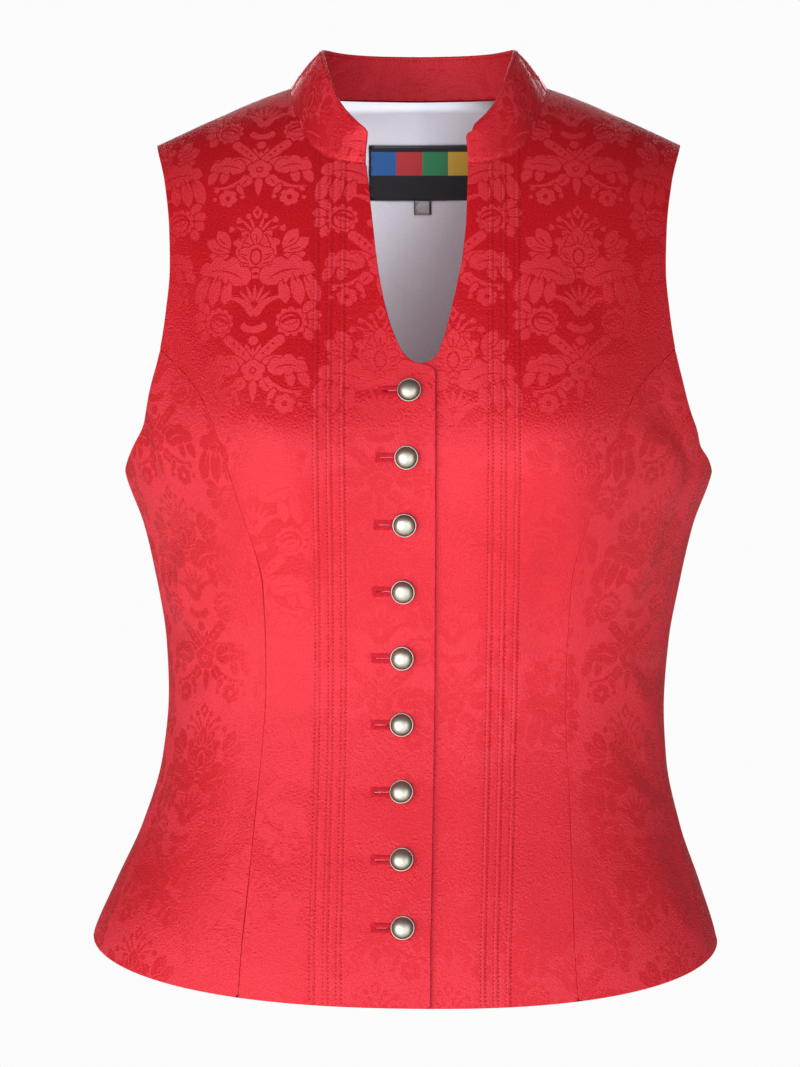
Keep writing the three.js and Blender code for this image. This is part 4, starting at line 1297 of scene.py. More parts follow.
def twist(tree, place):
    """The bump of a thread's twist, its turns drawn 0.4 mm apart so that they show."""
    wave = {"Vector": place, "Scale": 900.0, "Distortion": 1.0}
    turns = add(tree, "ShaderNodeTexWave", wave, bands_direction="DIAGONAL").outputs["Fac"]
    return add(tree, "ShaderNodeBump", {"Strength": 0.3, "Distance": 0.00005, "Height": turns}).outputs[0]


def sewing_thread():
    """Polyester sewing thread, twisted: its colour is deeper than the cloth's, partly the thread's own and partly
    painted shade of the dents where it is drawn down into the cloth.
    """
    colours = bpy.context.scene.bodice_colours

    def build(tree):
        place = add(tree, "ShaderNodeTexCoord").outputs["Object"]
        bump = twist(tree, place)
        return add(
            tree,
            "ShaderNodeBsdfPrincipled",
            {"Base Color": tuple(colours.thread) + (1,), "Roughness": 0.6, "Specular IOR Level": 0.2, "Normal": bump},
        )

    return finish_material("polyester_sewing_thread", build)


def buttonhole_silk():
    """Buttonhole twist, laid close side by side: the cloth's own red, with a satin's soft gloss."""
    colours = bpy.context.scene.bodice_colours

    def build(tree):
        place = add(tree, "ShaderNodeTexCoord").outputs["Object"]
        mottle = add(tree, "ShaderNodeTexNoise", {"Vector": place, "Scale": 900.0, "Detail": 2.0}).outputs["Fac"]
        base = {"Factor": mottle, 6: tuple(colours.thread) + (1,), 7: linear("#C81828")}
        base = add(tree, "ShaderNodeMix", base, data_type="RGBA").outputs[2]
        bump = twist(tree, place)
        return add(
            tree,
            "ShaderNodeBsdfPrincipled",
            {
                "Base Color": base,
                "Roughness": 0.45,
                "IOR": 1.6,
                "Specular IOR Level": 0.8,
                "Specular Tint": linear("#FF6579"),
                "Normal": bump,
            },
        )

    return finish_material("silk_buttonhole_twist", build)


def frayed_fibre():
    """Cut warp ends in a buttonhole, where the deep dye has not taken: pale and dull."""

    def build(tree):
        place = add(tree, "ShaderNodeTexCoord").outputs["Object"]
        mottle = add(tree, "ShaderNodeTexNoise", {"Vector": place, "Scale": 700.0}).outputs["Fac"]
        base = {"Factor": mottle, 6: linear("#C04452"), 7: linear("#DC7C88")}
        base = add(tree, "ShaderNodeMix", base, data_type="RGBA").outputs[2]
        return add(tree, "ShaderNodeBsdfPrincipled", {"Base Color": base, "Roughness": 0.8})

    return finish_material("frayed_warp_ends", build)


def cotton_lining():
    """Plain-woven cotton and viscose lining, washed: dull, slightly blue-white, with a fine cross thread; painted
    shade darkens its colour where it lies deep inside.
    """
    colours = bpy.context.scene.bodice_colours

    def build(tree):
        weave = add(tree, "ShaderNodeUVMap", uv_map="weave").outputs["UV"]
        # 0.25 mm threads, drawn 0.7 mm apart so that they show.
        wave = {"Vector": weave, "Scale": 450.0, "Distortion": 0.6}
        threads = [add(tree, "ShaderNodeTexWave", wave, bands_direction=way).outputs["Fac"] for way in "XY"]
        cross = add(tree, "ShaderNodeMath", {0: threads[0], 1: threads[1]}, operation="MULTIPLY").outputs[0]
        soft = add(tree, "ShaderNodeTexNoise", {"Vector": weave, "Scale": 9.0, "Detail": 3.0}).outputs["Fac"]
        base = add(
            tree,
            "ShaderNodeMix",
            {"Factor": soft, 6: tuple(colours.lining) + (1,), 7: linear("#E2E9FA")},
            data_type="RGBA",
        ).outputs[2]
        # Painted shade: the base colour is darkened where little of the room reaches it, so that the inside of the
        # neck is as deep in shade as it should be.
        open_ = add(tree, "ShaderNodeAmbientOcclusion", {"Distance": 0.3}, samples=8).outputs["AO"]
        grey = {"Value": open_, "From Min": 0.1, "From Max": 0.4, "To Min": 0.4, "To Max": 1.0}
        grey = add(tree, "ShaderNodeMapRange", grey).outputs[0]
        base = add(tree, "ShaderNodeVectorMath", {0: base, "Scale": grey}, operation="SCALE").outputs[0]
        bump = add(tree, "ShaderNodeBump", {"Strength": 0.15, "Distance": 0.00008, "Height": cross}).outputs[0]
        return add(
            tree,
            "ShaderNodeBsdfPrincipled",
            {"Base Color": base, "Roughness": 0.85, "Sheen Weight": 0.2, "Sheen Roughness": 0.6, "Normal": bump},
        )

    return finish_material("plain_woven_lining", build)


def cast_pewter():
    """Cast and tumbled pewter: a satin grey-white dome, with dark patina left in the groove and low on the dome."""
    colours = bpy.context.scene.bodice_colours

    def build(tree):
        place = add(tree, "ShaderNodeTexCoord").outputs["Object"]
        patina = add(tree, "ShaderNodeAttribute", attribute_name="patina").outputs["Fac"]
        grain = add(tree, "ShaderNodeTexNoise", {"Vector": place, "Scale": 900.0, "Detail": 4.0}).outputs["Fac"]
        cloud = add(tree, "ShaderNodeTexNoise", {"Vector": place, "Scale": 160.0, "Detail": 3.0}).outputs["Fac"]
        worn = {"Value": cloud, "From Min": 0.3, "From Max": 0.7, "To Min": -0.12, "To Max": 0.12}
        worn = add(tree, "ShaderNodeMapRange", worn).outputs[0]
        depth = add(tree, "ShaderNodeMath", {0: patina, 1: worn}, operation="ADD", use_clamp=True).outputs[0]
        base = add(
            tree,
            "ShaderNodeMix",
            {"Factor": depth, 6: tuple(colours.pewter) + (1,), 7: linear("#55514A")},
            data_type="RGBA",
        ).outputs[2]
        rough = add(tree, "ShaderNodeMapRange", {"Value": depth, "To Min": 0.4, "To Max": 0.6}).outputs[0]
        bump = add(tree, "ShaderNodeBump", {"Strength": 0.15, "Distance": 0.00005, "Height": grain}).outputs[0]
        return add(
            tree,
            "ShaderNodeBsdfPrincipled",
            {"Base Color": base, "Metallic": 1.0, "Roughness": rough, "Normal": bump},
        )

    return finish_material("cast_pewter", build)


def woven_label():
    """Taffeta label, woven in fine coloured wefts on a near-black warp: a plain band of blocks, no words."""

    def build(tree):
        weave = add(tree, "ShaderNodeUVMap", uv_map="weave").outputs["UV"]
        parts = add(tree, "ShaderNodeSeparateXYZ", {"Vector": weave})
        across, up = parts.outputs["X"], parts.outputs["Y"]
        # The band's share from its left end to its right picks the block's colour.
        start = add(tree, "ShaderNodeMath", {0: across, 1: LABEL["blocks"] * MM / 2}).outputs[0]
        share = {0: start, 1: 1 / (LABEL["blocks"] * MM)}
        share = add(tree, "ShaderNodeMath", share, operation="MULTIPLY").outputs[0]
        share = add(tree, "ShaderNodeMath", {0: share, 1: 1.0, 2: 0.0}, operation="WRAP").outputs[0]
        ramp = add(tree, "ShaderNodeValToRGB", {"Fac": share})
        ramp.color_ramp.interpolation = "CONSTANT"
        stops = (("#2A63A8", 0), ("#B8383C", 0.25), ("#2E8A5C", 0.5), ("#D0B040", 0.75))
        ramp.color_ramp.elements.remove(ramp.color_ramp.elements[1])
        for i, (colour, at) in enumerate(stops):
            stop = ramp.color_ramp.elements[0] if i == 0 else ramp.color_ramp.elements.new(at)
            stop.position, stop.color = at, linear(colour)
        middle = add(tree, "ShaderNodeMath", {0: up, 1: LABEL["band"] * MM}, operation="SUBTRACT").outputs[0]
        gap = add(tree, "ShaderNodeMath", {0: middle}, operation="ABSOLUTE").outputs[0]
        band = {0: gap, 1: LABEL["band_high"] * MM / 2}
        band = add(tree, "ShaderNodeMath", band, operation="LESS_THAN").outputs[0]
        off = add(tree, "ShaderNodeMath", {0: across}, operation="ABSOLUTE").outputs[0]
        inside = {0: off, 1: LABEL["band_wide"] * MM / 2}
        inside = add(tree, "ShaderNodeMath", inside, operation="LESS_THAN").outputs[0]
        both = add(tree, "ShaderNodeMath", {0: band, 1: inside}, operation="MULTIPLY").outputs[0]
        # 0.15 mm wefts, drawn 0.4 mm apart.
        rib = add(tree, "ShaderNodeTexWave", {"Vector": weave, "Scale": 800.0}, bands_direction="Y").outputs["Fac"]
        base = {"Factor": both, 6: linear("#1C2029"), 7: ramp.outputs[0]}
        base = add(tree, "ShaderNodeMix", base, data_type="RGBA").outputs[2]
        bump = add(tree, "ShaderNodeBump", {"Strength": 0.3, "Distance": 0.00006, "Height": rib}).outputs[0]
        return add(tree, "ShaderNodeBsdfPrincipled", {"Base Color": base, "Roughness": 0.55, "Normal": bump})

    return finish_material("woven_taffeta_label", build)


def cotton_tape():
    """Woven cotton tape for the size tab, left without its figures: grey-white between two dark selvedges."""

    def build(tree):
        weave = add(tree, "ShaderNodeUVMap", uv_map="weave").outputs["UV"]
        rib = add(tree, "ShaderNodeTexWave", {"Vector": weave, "Scale": 700.0}, bands_direction="X").outputs["Fac"]
        across = add(tree, "ShaderNodeSeparateXYZ", {"Vector": weave}).outputs["X"]
        off = add(tree, "ShaderNodeMath", {0: across}, operation="ABSOLUTE").outputs[0]
        edge = {0: off, 1: SIZE_TAB["between_selvedges"] * MM / 2}
        edge = add(tree, "ShaderNodeMath", edge, operation="GREATER_THAN").outputs[0]
        base = {"Factor": edge, 6: linear("#A9ABB2"), 7: linear("#2A2C33")}
        base = add(tree, "ShaderNodeMix", base, data_type="RGBA").outputs[2]
        bump = add(tree, "ShaderNodeBump", {"Strength": 0.3, "Distance": 0.00006, "Height": rib}).outputs[0]
        return add(tree, "ShaderNodeBsdfPrincipled", {"Base Color": base, "Roughness": 0.75, "Normal": bump})

    return finish_material("cotton_size_tape", build)


def studio_paper():
    """Seamless background paper: white, matt, with a faint tooth."""

    def build(tree):
        place = add(tree, "ShaderNodeTexCoord").outputs["Object"]
        tooth = add(tree, "ShaderNodeTexNoise", {"Vector": place, "Scale": 400.0}).outputs["Fac"]
        bump = add(tree, "ShaderNodeBump", {"Strength": 0.05, "Distance": 0.0002, "Height": tooth}).outputs[0]
        paper = {"Base Color": linear("#F4F3F1"), "Roughness": 0.9, "Normal": bump}
        return add(tree, "ShaderNodeBsdfPrincipled", paper)

    return finish_material("seamless_background_paper", build)


# ---- Stitches: thread laid along or across a line on the cloth -----------------------------------------


def stitch_tree():
    """Geometry nodes that lay one small body of thread at every step of a line."""
    tree = bpy.data.node_groups.get("stitches")
    if tree:
        return tree
    tree = bpy.data.node_groups.new("stitches", "GeometryNodeTree")
    tree.interface.new_socket("Geometry", in_out="OUTPUT", socket_type="NodeSocketGeometry")
    for label, kind in (
        ("Geometry", "NodeSocketGeometry"),
        ("Pitch", "NodeSocketFloat"),
        ("Long", "NodeSocketFloat"),
        ("Thick", "NodeSocketFloat"),
        ("Across", "NodeSocketBool"),
        ("Uneven", "NodeSocketFloat"),
        ("Seed", "NodeSocketInt"),
        ("Thread", "NodeSocketMaterial"),
    ):
        tree.interface.new_socket(label, in_out="INPUT", socket_type=kind)
    given = add(tree, "NodeGroupInput").outputs
    lines = add(tree, "GeometryNodeMeshToCurve", {"Mesh": given["Geometry"]}).outputs[0]
    spaced = {"Curve": lines, "Length": given["Pitch"]}
    spaced = add(tree, "GeometryNodeResampleCurve", spaced, mode="LENGTH").outputs[0]
    way = add(tree, "GeometryNodeInputTangent").outputs[0]
    out = add(tree, "GeometryNodeInputNamedAttribute", {"Name": "out"}, data_type="FLOAT_VECTOR").outputs[0]
    aside = add(tree, "ShaderNodeVectorMath", {0: way, 1: out}, operation="CROSS_PRODUCT").outputs[0]
    lay = {"Switch": given["Across"], "False": way, "True": aside}
    lay = add(tree, "GeometryNodeSwitch", lay, input_type="VECTOR").outputs[0]
    turn = add(tree, "FunctionNodeAlignRotationToVector", {"Vector": lay}, axis="Z").outputs[0]
    turn = {"Rotation": turn, "Vector": out}
    turn = add(tree, "FunctionNodeAlignRotationToVector", turn, axis="Y", pivot_axis="Z").outputs[0]
    low = add(tree, "ShaderNodeMath", {0: 1.0, 1: given["Uneven"]}, operation="SUBTRACT").outputs[0]
    high = add(tree, "ShaderNodeMath", {0: 1.0, 1: given["Uneven"]}, operation="ADD").outputs[0]
    vary = {2: low, 3: high, "Seed": given["Seed"]}
    vary = add(tree, "FunctionNodeRandomValue", vary, data_type="FLOAT").outputs[1]
    long = add(tree, "ShaderNodeMath", {0: given["Long"], 1: vary}, operation="MULTIPLY").outputs[0]
    size = add(tree, "ShaderNodeCombineXYZ", {"X": given["Thick"], "Y": given["Thick"], "Z": long}).outputs[0]
    body = add(tree, "GeometryNodeMeshUVSphere", {"Segments": 8, "Rings": 5, "Radius": 0.5}).outputs["Mesh"]
    laid = add(
        tree,
        "GeometryNodeInstanceOnPoints",
        {"Points": spaced, "Instance": body, "Rotation": turn, "Scale": size},
    ).outputs[0]
    real = add(tree, "GeometryNodeRealizeInstances", {"Geometry": laid}).outputs[0]
    round_ = add(tree, "GeometryNodeSetShadeSmooth", {"Geometry": real}).outputs[0]
    done = add(tree, "GeometryNodeSetMaterial", {"Geometry": round_, "Material": given["Thread"]}).outputs[0]
    add(tree, "NodeGroupOutput", {"Geometry": done})
    return tree


def stitch(name, lines, material, **sizes):
    """Stitches along lines of points and the ways out there, made one plain mesh."""
    points = np.concatenate([line for line, _ in lines]) * MM
    outs = np.concatenate([out for _, out in lines])
    edges, start = [], 0
    for line, _ in lines:
        edges += [(start + i, start + i + 1) for i in range(len(line) - 1)]
        start += len(line)
    mesh = bpy.data.meshes.new(name)
    mesh.from_pydata(points.tolist(), edges, [])
    mesh.attributes.new("out", "FLOAT_VECTOR", "POINT").data.foreach_set("vector", outs.astype(np.float32).ravel())
    made = bpy.data.objects.new(name, mesh)
    bpy.context.scene.collection.objects.link(made)
    nodes = made.modifiers.new("stitches", "NODES")
    nodes.node_group = stitch_tree()
    for socket in nodes.node_group.interface.items_tree:
        value = {**sizes, "Thread": material}.get(socket.name)
        if socket.in_out == "INPUT" and value is not None:
            nodes[socket.identifier] = value
    evaluated = made.evaluated_get(bpy.context.evaluated_depsgraph_get())
    plain = bpy.data.meshes.new_from_object(evaluated)
    made.modifiers.clear()
    made.data = plain
    for attribute in [a for a in plain.attributes if a.name == "out"]:
        plain.attributes.remove(attribute)
    bpy.data.meshes.remove(mesh)
    plain.name = name
    return made


def on_cloth(cut, x, z, lift, mirrored=False):
    """Points a little off a cut's face over places on the form, and the ways out there."""
    x, z = np.broadcast_arrays(np.asarray(x, float), np.asarray(z, float))
    laid = cut.half.lay(cut.half.angle_at(x, z), z)
    at, leaned, *_ = cut.surface(laid)
    at = at + leaned * lift
    if mirrored:
        at, leaned = at * (-1, 1, 1), leaned * (-1, 1, 1)
    return swing(at), leaned


# ---- The pieces ----------------------------------------------------------------------------------------

LABEL = {
    "x": 2,
    "wide": 68,
    "high": 34,
    "top": -26,
    "thick": 0.6,
    "gap": 0.35,  # off the lining
    "grid": 2.5,
    "edge": 0.25,
    "band": 7.0,  # the band of coloured blocks: its middle over the label's, its size, and the blocks' repeat
    "band_wide": 65,
    "band_high": 17.2,
    "blocks": 66,
}
SIZE_TAB = {"wide": 11, "high": 8.5, "between_selvedges": 8.8}
# The lining's thickness, how far its face lies inside the cloth's, and how far its outline does.
LINING = {"wall": 1.0, "gap": 2.1, "drawn_in": 0.6}
BUTTONHOLE = {"long": 16, "slit": 0.5, "bound": 1.6, "tack": 5.2}  # bound: from the slit's middle to each side
BUTTONHOLE_STITCHES = {
    # pitch, length and thickness in mm, whether they lie across the line, how uneven, seed
    "buttonhole_binding": (0.62, 2.9, 0.62, True, 0.14, 21),
    "buttonhole_tacks": (0.6, 2.1, 0.7, True, 0.2, 22),
    "buttonhole_fray": (1.0, 2.4, 0.4, False, 0.5, 23),
}
CLOTH_CUTS = {
    # piece: flat width and length in metres, and the flat area of what shows in square metres
    "front_right": (0.19, 0.60, 0.066),
    "front_left": (0.20, 0.60, 0.069),
    "side_front": (0.135, 0.39, 0.043),
    "side_back": (0.14, 0.38, 0.044),
    "back": (0.33, 0.575, 0.118),
    "collar": (0.42, 0.042, 0.0125),
    "lining_back": (0.33, 0.575, 0.117),
    "neck_label": (0.068, 0.034, 0.0023),
}


def fitted(piece, nodes, slot):
    """Places a finished piece on the frame in its CAD nodes' stead."""
    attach(piece, "root")
    if nodes:
        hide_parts(*nodes)
    return piece


def cloth_sheet(piece, cut):
    """Looks up the flat size of a finished piece's cloth; nothing more is done with it."""
    wide, long, area = CLOTH_CUTS[cut]


def button_x(z):
    """A button's place across at a height: the row bows a little."""
    down = (z - BUTTON["top"]) / (-BUTTON["pitch"] * (BUTTON["count"] - 1))
    return lerp(BUTTON["x_top"], BUTTON["x_hem"], down) - BUTTON["bow"] * 4 * down * (1 - down)


def button_heights():
    """The buttons' heights, from the top."""
    return BUTTON["top"] - BUTTON["pitch"] * np.arange(BUTTON["count"])


def tuck_lines(cut, mirrored):
    """The two rows of stitches beside each tuck, from neck to hem."""
    lines = []
    for at in TUCK_X:
        for side in (-1, 1):
            x_top = at + side * TUCK["wide"] / 2
            z = np.linspace(neck_front(x_top) - 1.2, HEM["side"] - 31, 300)
            x = at * narrowed(z) + side * TUCK["wide"] / 2
            z = z[z > hem_height(FRONT.angle_at(x, z), False) + 1.5]
            lines.append(on_cloth(cut, x[: len(z)], z, 0.1, mirrored))
    return lines


def tuck_columns():
    """Lines on the table along each tuck's feet, flanks and crest."""
    lines = []
    for at in TUCK_X:
        for share in (-1.35, -1, -0.72, -0.4, 0, 0.4, 0.72, 1, 1.35):
            top = neck_front(at + share * TUCK["wide"] / 2) - 0.9
            z = np.linspace(top, HEM["side"] - 33, 160)
            x = at * narrowed(z) + share * TUCK["wide"] / 2
            z = z[z > hem_height(FRONT.angle_at(x, z), False) + 0.9]
            lines.append(FRONT.lay(FRONT.angle_at(x[: len(z)], z), z))
    return lines


def slit_holes():
    """The buttonholes' slits on the right front's table, drawn for the wearer's left."""
    holes = []
    half = BUTTONHOLE["slit"] / 2
    for z in button_heights():
        x = -button_x(z) + np.array([-0.5, 0.6, 4, 8, 12, BUTTONHOLE["long"] - 0.5, BUTTONHOLE["long"]])
        low = np.array([0.6, 1, 1, 0.9, 1, 0.8, 0.2]) * half
        x, y = np.concatenate([x, x[::-1]]), np.concatenate([z - low, (z + low)[::-1]])
        shape = FRONT.lay(FRONT.angle_at(x, y), y)
        holes.append(shape if ring_area(shape) > 0 else shape[::-1])
    return holes


def cloth_settings():
    """The damask's thickness, the grid and the edges' roundness in mm."""
    sizes = bpy.context.scene.bodice_sewing
    return sizes.cloth / MM, sizes.grid / MM, sizes.edge_round / MM


class BODICE_OT_fronts(bpy.types.Operator):
    """Cuts both fronts with their pin tucks, and sews the tucks"""

    bl_idname = "bodice.fronts"
    bl_label = "Fronts and pin tucks"

    def execute(self, context):
        thick, grid, edge = cloth_settings()
        sizes = context.scene.bodice_sewing
        for name, left in (("front_right", False), ("front_left", True)):
            cut = front_cut(left)
            holes = () if left else slit_holes()
            piece = sew(
                f"{name}_panel", cut, satin_damask(), thick, grid, edge,
                mirrored=not left, lines=tuck_columns(), holes=holes,
            )
            thread = stitch(
                f"{name}_tuck_stitches",
                tuck_lines(cut, not left),
                sewing_thread(),
                Pitch=sizes.stitch_pitch,
                Long=sizes.stitch_long,
                Thick=sizes.thread,
                Uneven=0.08,
                Seed=3 + left,
            )
            fitted(piece, [name], "damask")
            fitted(thread, [], "damask")
            cloth_sheet(piece, name)
        return {"FINISHED"}


class BODICE_OT_side_panels(bpy.types.Operator):
    """Cuts the four side panels between the princess seams and the side seams"""

    bl_idname = "bodice.side_panels"
    bl_label = "Side panels"

    def execute(self, context):
        thick, grid, edge = cloth_settings()
        for kind, half in (("side_front", FRONT), ("side_back", BACK)):
            for side, mirrored in (("left", False), ("right", True)):
                cut = side_cut(half, -1 if mirrored else 1)
                piece = sew(f"{kind}_{side}_panel", cut, satin_damask(), thick, grid, edge, mirrored=mirrored)
                fitted(piece, [f"{kind}_{side}"], "damask")
                cloth_sheet(piece, kind)
        return {"FINISHED"}


class BODICE_OT_back(bpy.types.Operator):
    """Cuts the centre back and its lining"""

    bl_idname = "bodice.back"
    bl_label = "Back and lining"

    def execute(self, context):
        thick, grid, edge = cloth_settings()
        piece = sew("back_panel", back_cut(), satin_damask(), thick, grid, edge)
        fitted(piece, ["back"], "damask")
        cloth_sheet(piece, "back")
        lining = sew(
            "back_lining", lining_cut(), cotton_lining(), LINING["wall"], grid, LINING["wall"] * 0.45,
            damask=False, lift=-LINING["gap"],
        )
        fitted(lining, ["lining_back"], "lining")
        cloth_sheet(lining, "lining_back")
        return {"FINISHED"}


class BODICE_OT_collar(bpy.types.Operator):
    """Sets the stand collar and sews its upper edge"""

    bl_idname = "bodice.collar"
    bl_label = "Collar"

    def execute(self, context):
        sizes = context.scene.bodice_sewing
        cut = CollarCut()
        piece = sew("stand_collar", cut, satin_damask(), COLLAR["wall"], COLLAR["grid"], COLLAR["edge"], inside=True)
        laid = np.stack([cut.run, cut.tall - COLLAR["stitched"]], 1)[6:-8]
        at, leaned, out, *_ = cut.surface(laid)
        lines = [(at + leaned * 0.12, leaned), (at - out * (COLLAR["wall"] + 0.12), -leaned)]
        thread = stitch(
            "collar_stitches", lines, sewing_thread(),
            Pitch=sizes.stitch_pitch, Long=sizes.stitch_long, Thick=sizes.thread, Uneven=0.08, Seed=11,
        )
        fitted(piece, ["collar"], "damask")
        fitted(thread, [], "damask")
        cloth_sheet(piece, "collar")
        return {"FINISHED"}


class BODICE_OT_buttonholes(bpy.types.Operator):
    """Binds the nine buttonholes with thread and leaves a little fray in each"""

    bl_idname = "bodice.buttonholes"
    bl_label = "Buttonholes"

    def execute(self, context):
        cut = front_cut(False)
        sides, tacks, frays = [], [], []
        half, long = BUTTONHOLE["bound"], BUTTONHOLE["long"]
        for i, z in enumerate(button_heights()):
            x = -button_x(z) + np.linspace(2, long, 12)
            for side in (1, -1):
                sides.append(on_cloth(cut, x, z + side * half + 0 * x, 0.18, True))
            y = z + np.linspace(-0.5, 0.5, 6) * BUTTONHOLE["tack"]
            for step in (0.2, 1.1):
                tacks.append(on_cloth(cut, -button_x(z) + long + step + 0 * y, y, 0.22, True))
            start = long * (0.45 + 0.07 * (i % 3))
            run = -button_x(z) + np.linspace(start, start + 4.6 + (i * 5) % 3, 5)
            frays.append(on_cloth(cut, run, z + 0.12 * np.sin(run * 1.7 + i), -0.1, True))
        for name, lines, material in (
            ("buttonhole_binding", sides, buttonhole_silk()),
            ("buttonhole_tacks", tacks, buttonhole_silk()),
            ("buttonhole_fray", frays, frayed_fibre()),
        ):
            pitch, long, thick, across, uneven, seed = BUTTONHOLE_STITCHES[name]
            thread = stitch(
                name, lines, material,
                Pitch=pitch * MM, Long=long * MM, Thick=thick * MM, Across=across, Uneven=uneven, Seed=seed,
            )
            fitted(thread, [], "damask")
        return {"FINISHED"}


BUTTON_PROFILE = table(
    # radius and height of a button over its seat, and how dark the patina lies there
    "radius height patina",
    (0, -2.4, 0.6),
    (1.2, -2.4, 0.6),
    (1.2, 0.0, 0.6),
    (5.6, 0.0, 0.6),
    (6.4, 0.12, 0.45),
    (6.85, 0.45, 0.2),
    (7.0, 0.85, 0.0),
    (6.95, 1.15, 0.0),
    (6.75, 1.35, 0.0),
    (6.5, 1.36, 0.15),
    (6.3, 1.2, 0.7),
    (6.15, 0.95, 1.0),
    (6.0, 0.9, 1.0),
    (5.9, 1.05, 0.95),
    (5.84, 1.4, 0.6),
    (5.7, 1.95, 0.42),
    (5.4, 2.6, 0.3),
    (4.9, 3.2, 0.2),
    (4.2, 3.75, 0.12),
    (3.3, 4.2, 0.06),
    (2.2, 4.5, 0.02),
    (1.1, 4.65, 0.0),
    (0.0, 4.7, 0.0),
)


class BODICE_OT_buttons(bpy.types.Operator):
    """Turns the nine domed buttons and seats them on the right front"""

    bl_idname = "bodice.buttons"
    bl_label = "Buttons"

    def execute(self, context):
        cut = front_cut(False)
        turns = 40  # points round a button
        radius, height, patina = (BUTTON_PROFILE[key] for key in ("radius", "height", "patina"))
        for i, z in enumerate(button_heights()):
            seat, out = on_cloth(cut, np.array([-button_x(z)]), np.array([z]), BUTTON["seat"], True)
            # A shank lets the dome lean, here to the wearer's right and up.
            lean = Vector((-0.13, 0, 0.07)) * (1 + 0.3 * math.sin(2.1 * i))
            out, seat = (Vector(out[0]) + lean).normalized(), Vector(seat[0])
            across = Vector((0, 0, 1)).cross(out).normalized()
            up = out.cross(across).normalized()
            angle = np.linspace(0, 2 * math.pi, turns, endpoint=False)
            rows = len(radius)
            circle = np.cos(angle)[:, None] * np.array(across) + np.sin(angle)[:, None] * np.array(up)
            points = np.array(seat) + radius[:, None, None] * circle + height[:, None, None] * np.array(out)
            points = points.reshape(-1, 3)
            r, c = np.meshgrid(np.arange(rows - 1), np.arange(turns), indexing="ij")
            a, b = r * turns + c, r * turns + (c + 1) % turns
            quads = np.stack([a, b, b + turns, a + turns], -1).reshape(-1, 4)
            piece = plain_mesh(f"pewter_button_{i + 1}", points, quads, cast_pewter())
            tone = piece.data.attributes.new("patina", "FLOAT", "POINT")
            tone.data.foreach_set("value", np.repeat(patina, turns).astype(np.float32))
            weld(piece)
            fitted(piece, [f"button_{i + 1}"], "button_metal")
        return {"FINISHED"}


def weld(piece):
    """Merges doubled points, closes the poles and turns the faces outwards."""
    bm = bmesh.new()
    bm.from_mesh(piece.data)
    bmesh.ops.remove_doubles(bm, verts=bm.verts, dist=1e-6)
    bmesh.ops.recalc_face_normals(bm, faces=bm.faces)
    bm.to_mesh(piece.data)
    bm.free()


def lining_cut():
    """The back's lining, drawn in a little from the back's own outline."""
    cut = back_cut()
    cut.ring = drawn_in(cut.ring, LINING["drawn_in"])
    cut.reliefs = (lining_folds,)
    return cut


def lining_folds(laid, x, z):
    """Soft slack in the lining, shallow and inwards."""
    total = -0.5 * smooth((-60 - z) / 80)
    for at_x, at_z, long, wide, lean, deep in LINING_CREASES:
        up = np.array([float(at_z)])
        middle = BACK.lay(BACK.angle_at(np.array([float(at_x)]), up), up)
        _, across, end = trough(laid, middle, lean, long, 0.1, 2.2, at_x)
        total -= deep * end * np.exp(-((across / wide) ** 2))
    return total


LINING_CREASES = (
    # x and z, long, wide, lean, deep
    (-22, -34, 30, 5, 12, 0.5),
    (30, -70, 40, 8, 70, 1.2),
    (-24, -96, 50, 9, 104, 1.6),
    (14, -120, 60, 10, 80, 1.8),
    (-8, -180, 60, 12, 96, 1.6),
    (38, -240, 60, 14, 84, 1.4),
    (-40, -300, 60, 14, 100, 1.4),
    (10, -380, 70, 14, 88, 1.4),
)


class BODICE_OT_labels(bpy.types.Operator):
    """Sews the neck label and the size tab inside the back"""

    bl_idname = "bodice.labels"
    bl_label = "Neck label and size tab"

    def execute(self, context):
        gap = LINING["gap"] + LINING["wall"] + LABEL["gap"]
        foot = LABEL["top"] - LABEL["high"]
        tab = foot - SEAM_GAP
        made = []
        for name, node, slot, material, wide, top, bottom in (
            ("woven_neck_label", "neck_label", "label", woven_label(), LABEL["wide"], LABEL["top"], foot),
            ("woven_size_tab", "size_tab", "size_tab", cotton_tape(), SIZE_TAB["wide"], tab, tab - SIZE_TAB["high"]),
        ):
            x = np.linspace(-wide / 2, wide / 2, 40)
            z = np.linspace(top, bottom, 20)
            edges = (
                (LABEL["x"] + x, bottom + 0 * x), (LABEL["x"] + wide / 2 + 0 * z, z[::-1]),
                (LABEL["x"] + x[::-1], top + 0 * x), (LABEL["x"] - wide / 2 + 0 * z, z),
            )
            middle_x, middle_z = np.array([float(LABEL["x"])]), np.array([(top + bottom) / 2])
            middle = BACK.thread(BACK.angle_at(middle_x, middle_z), middle_z)[0]
            cut = Cut(BACK, edges, tuple(middle))
            sizes = LABEL["thick"], LABEL["grid"], LABEL["edge"]
            piece = sew(name, cut, material, *sizes, damask=False, lift=-gap)
            fitted(piece, [node], slot)
            made.append(piece)
        cloth_sheet(made[0], "neck_label")
        return {"FINISHED"}


# ---- The stage -----------------------------------------------------------------------------------------


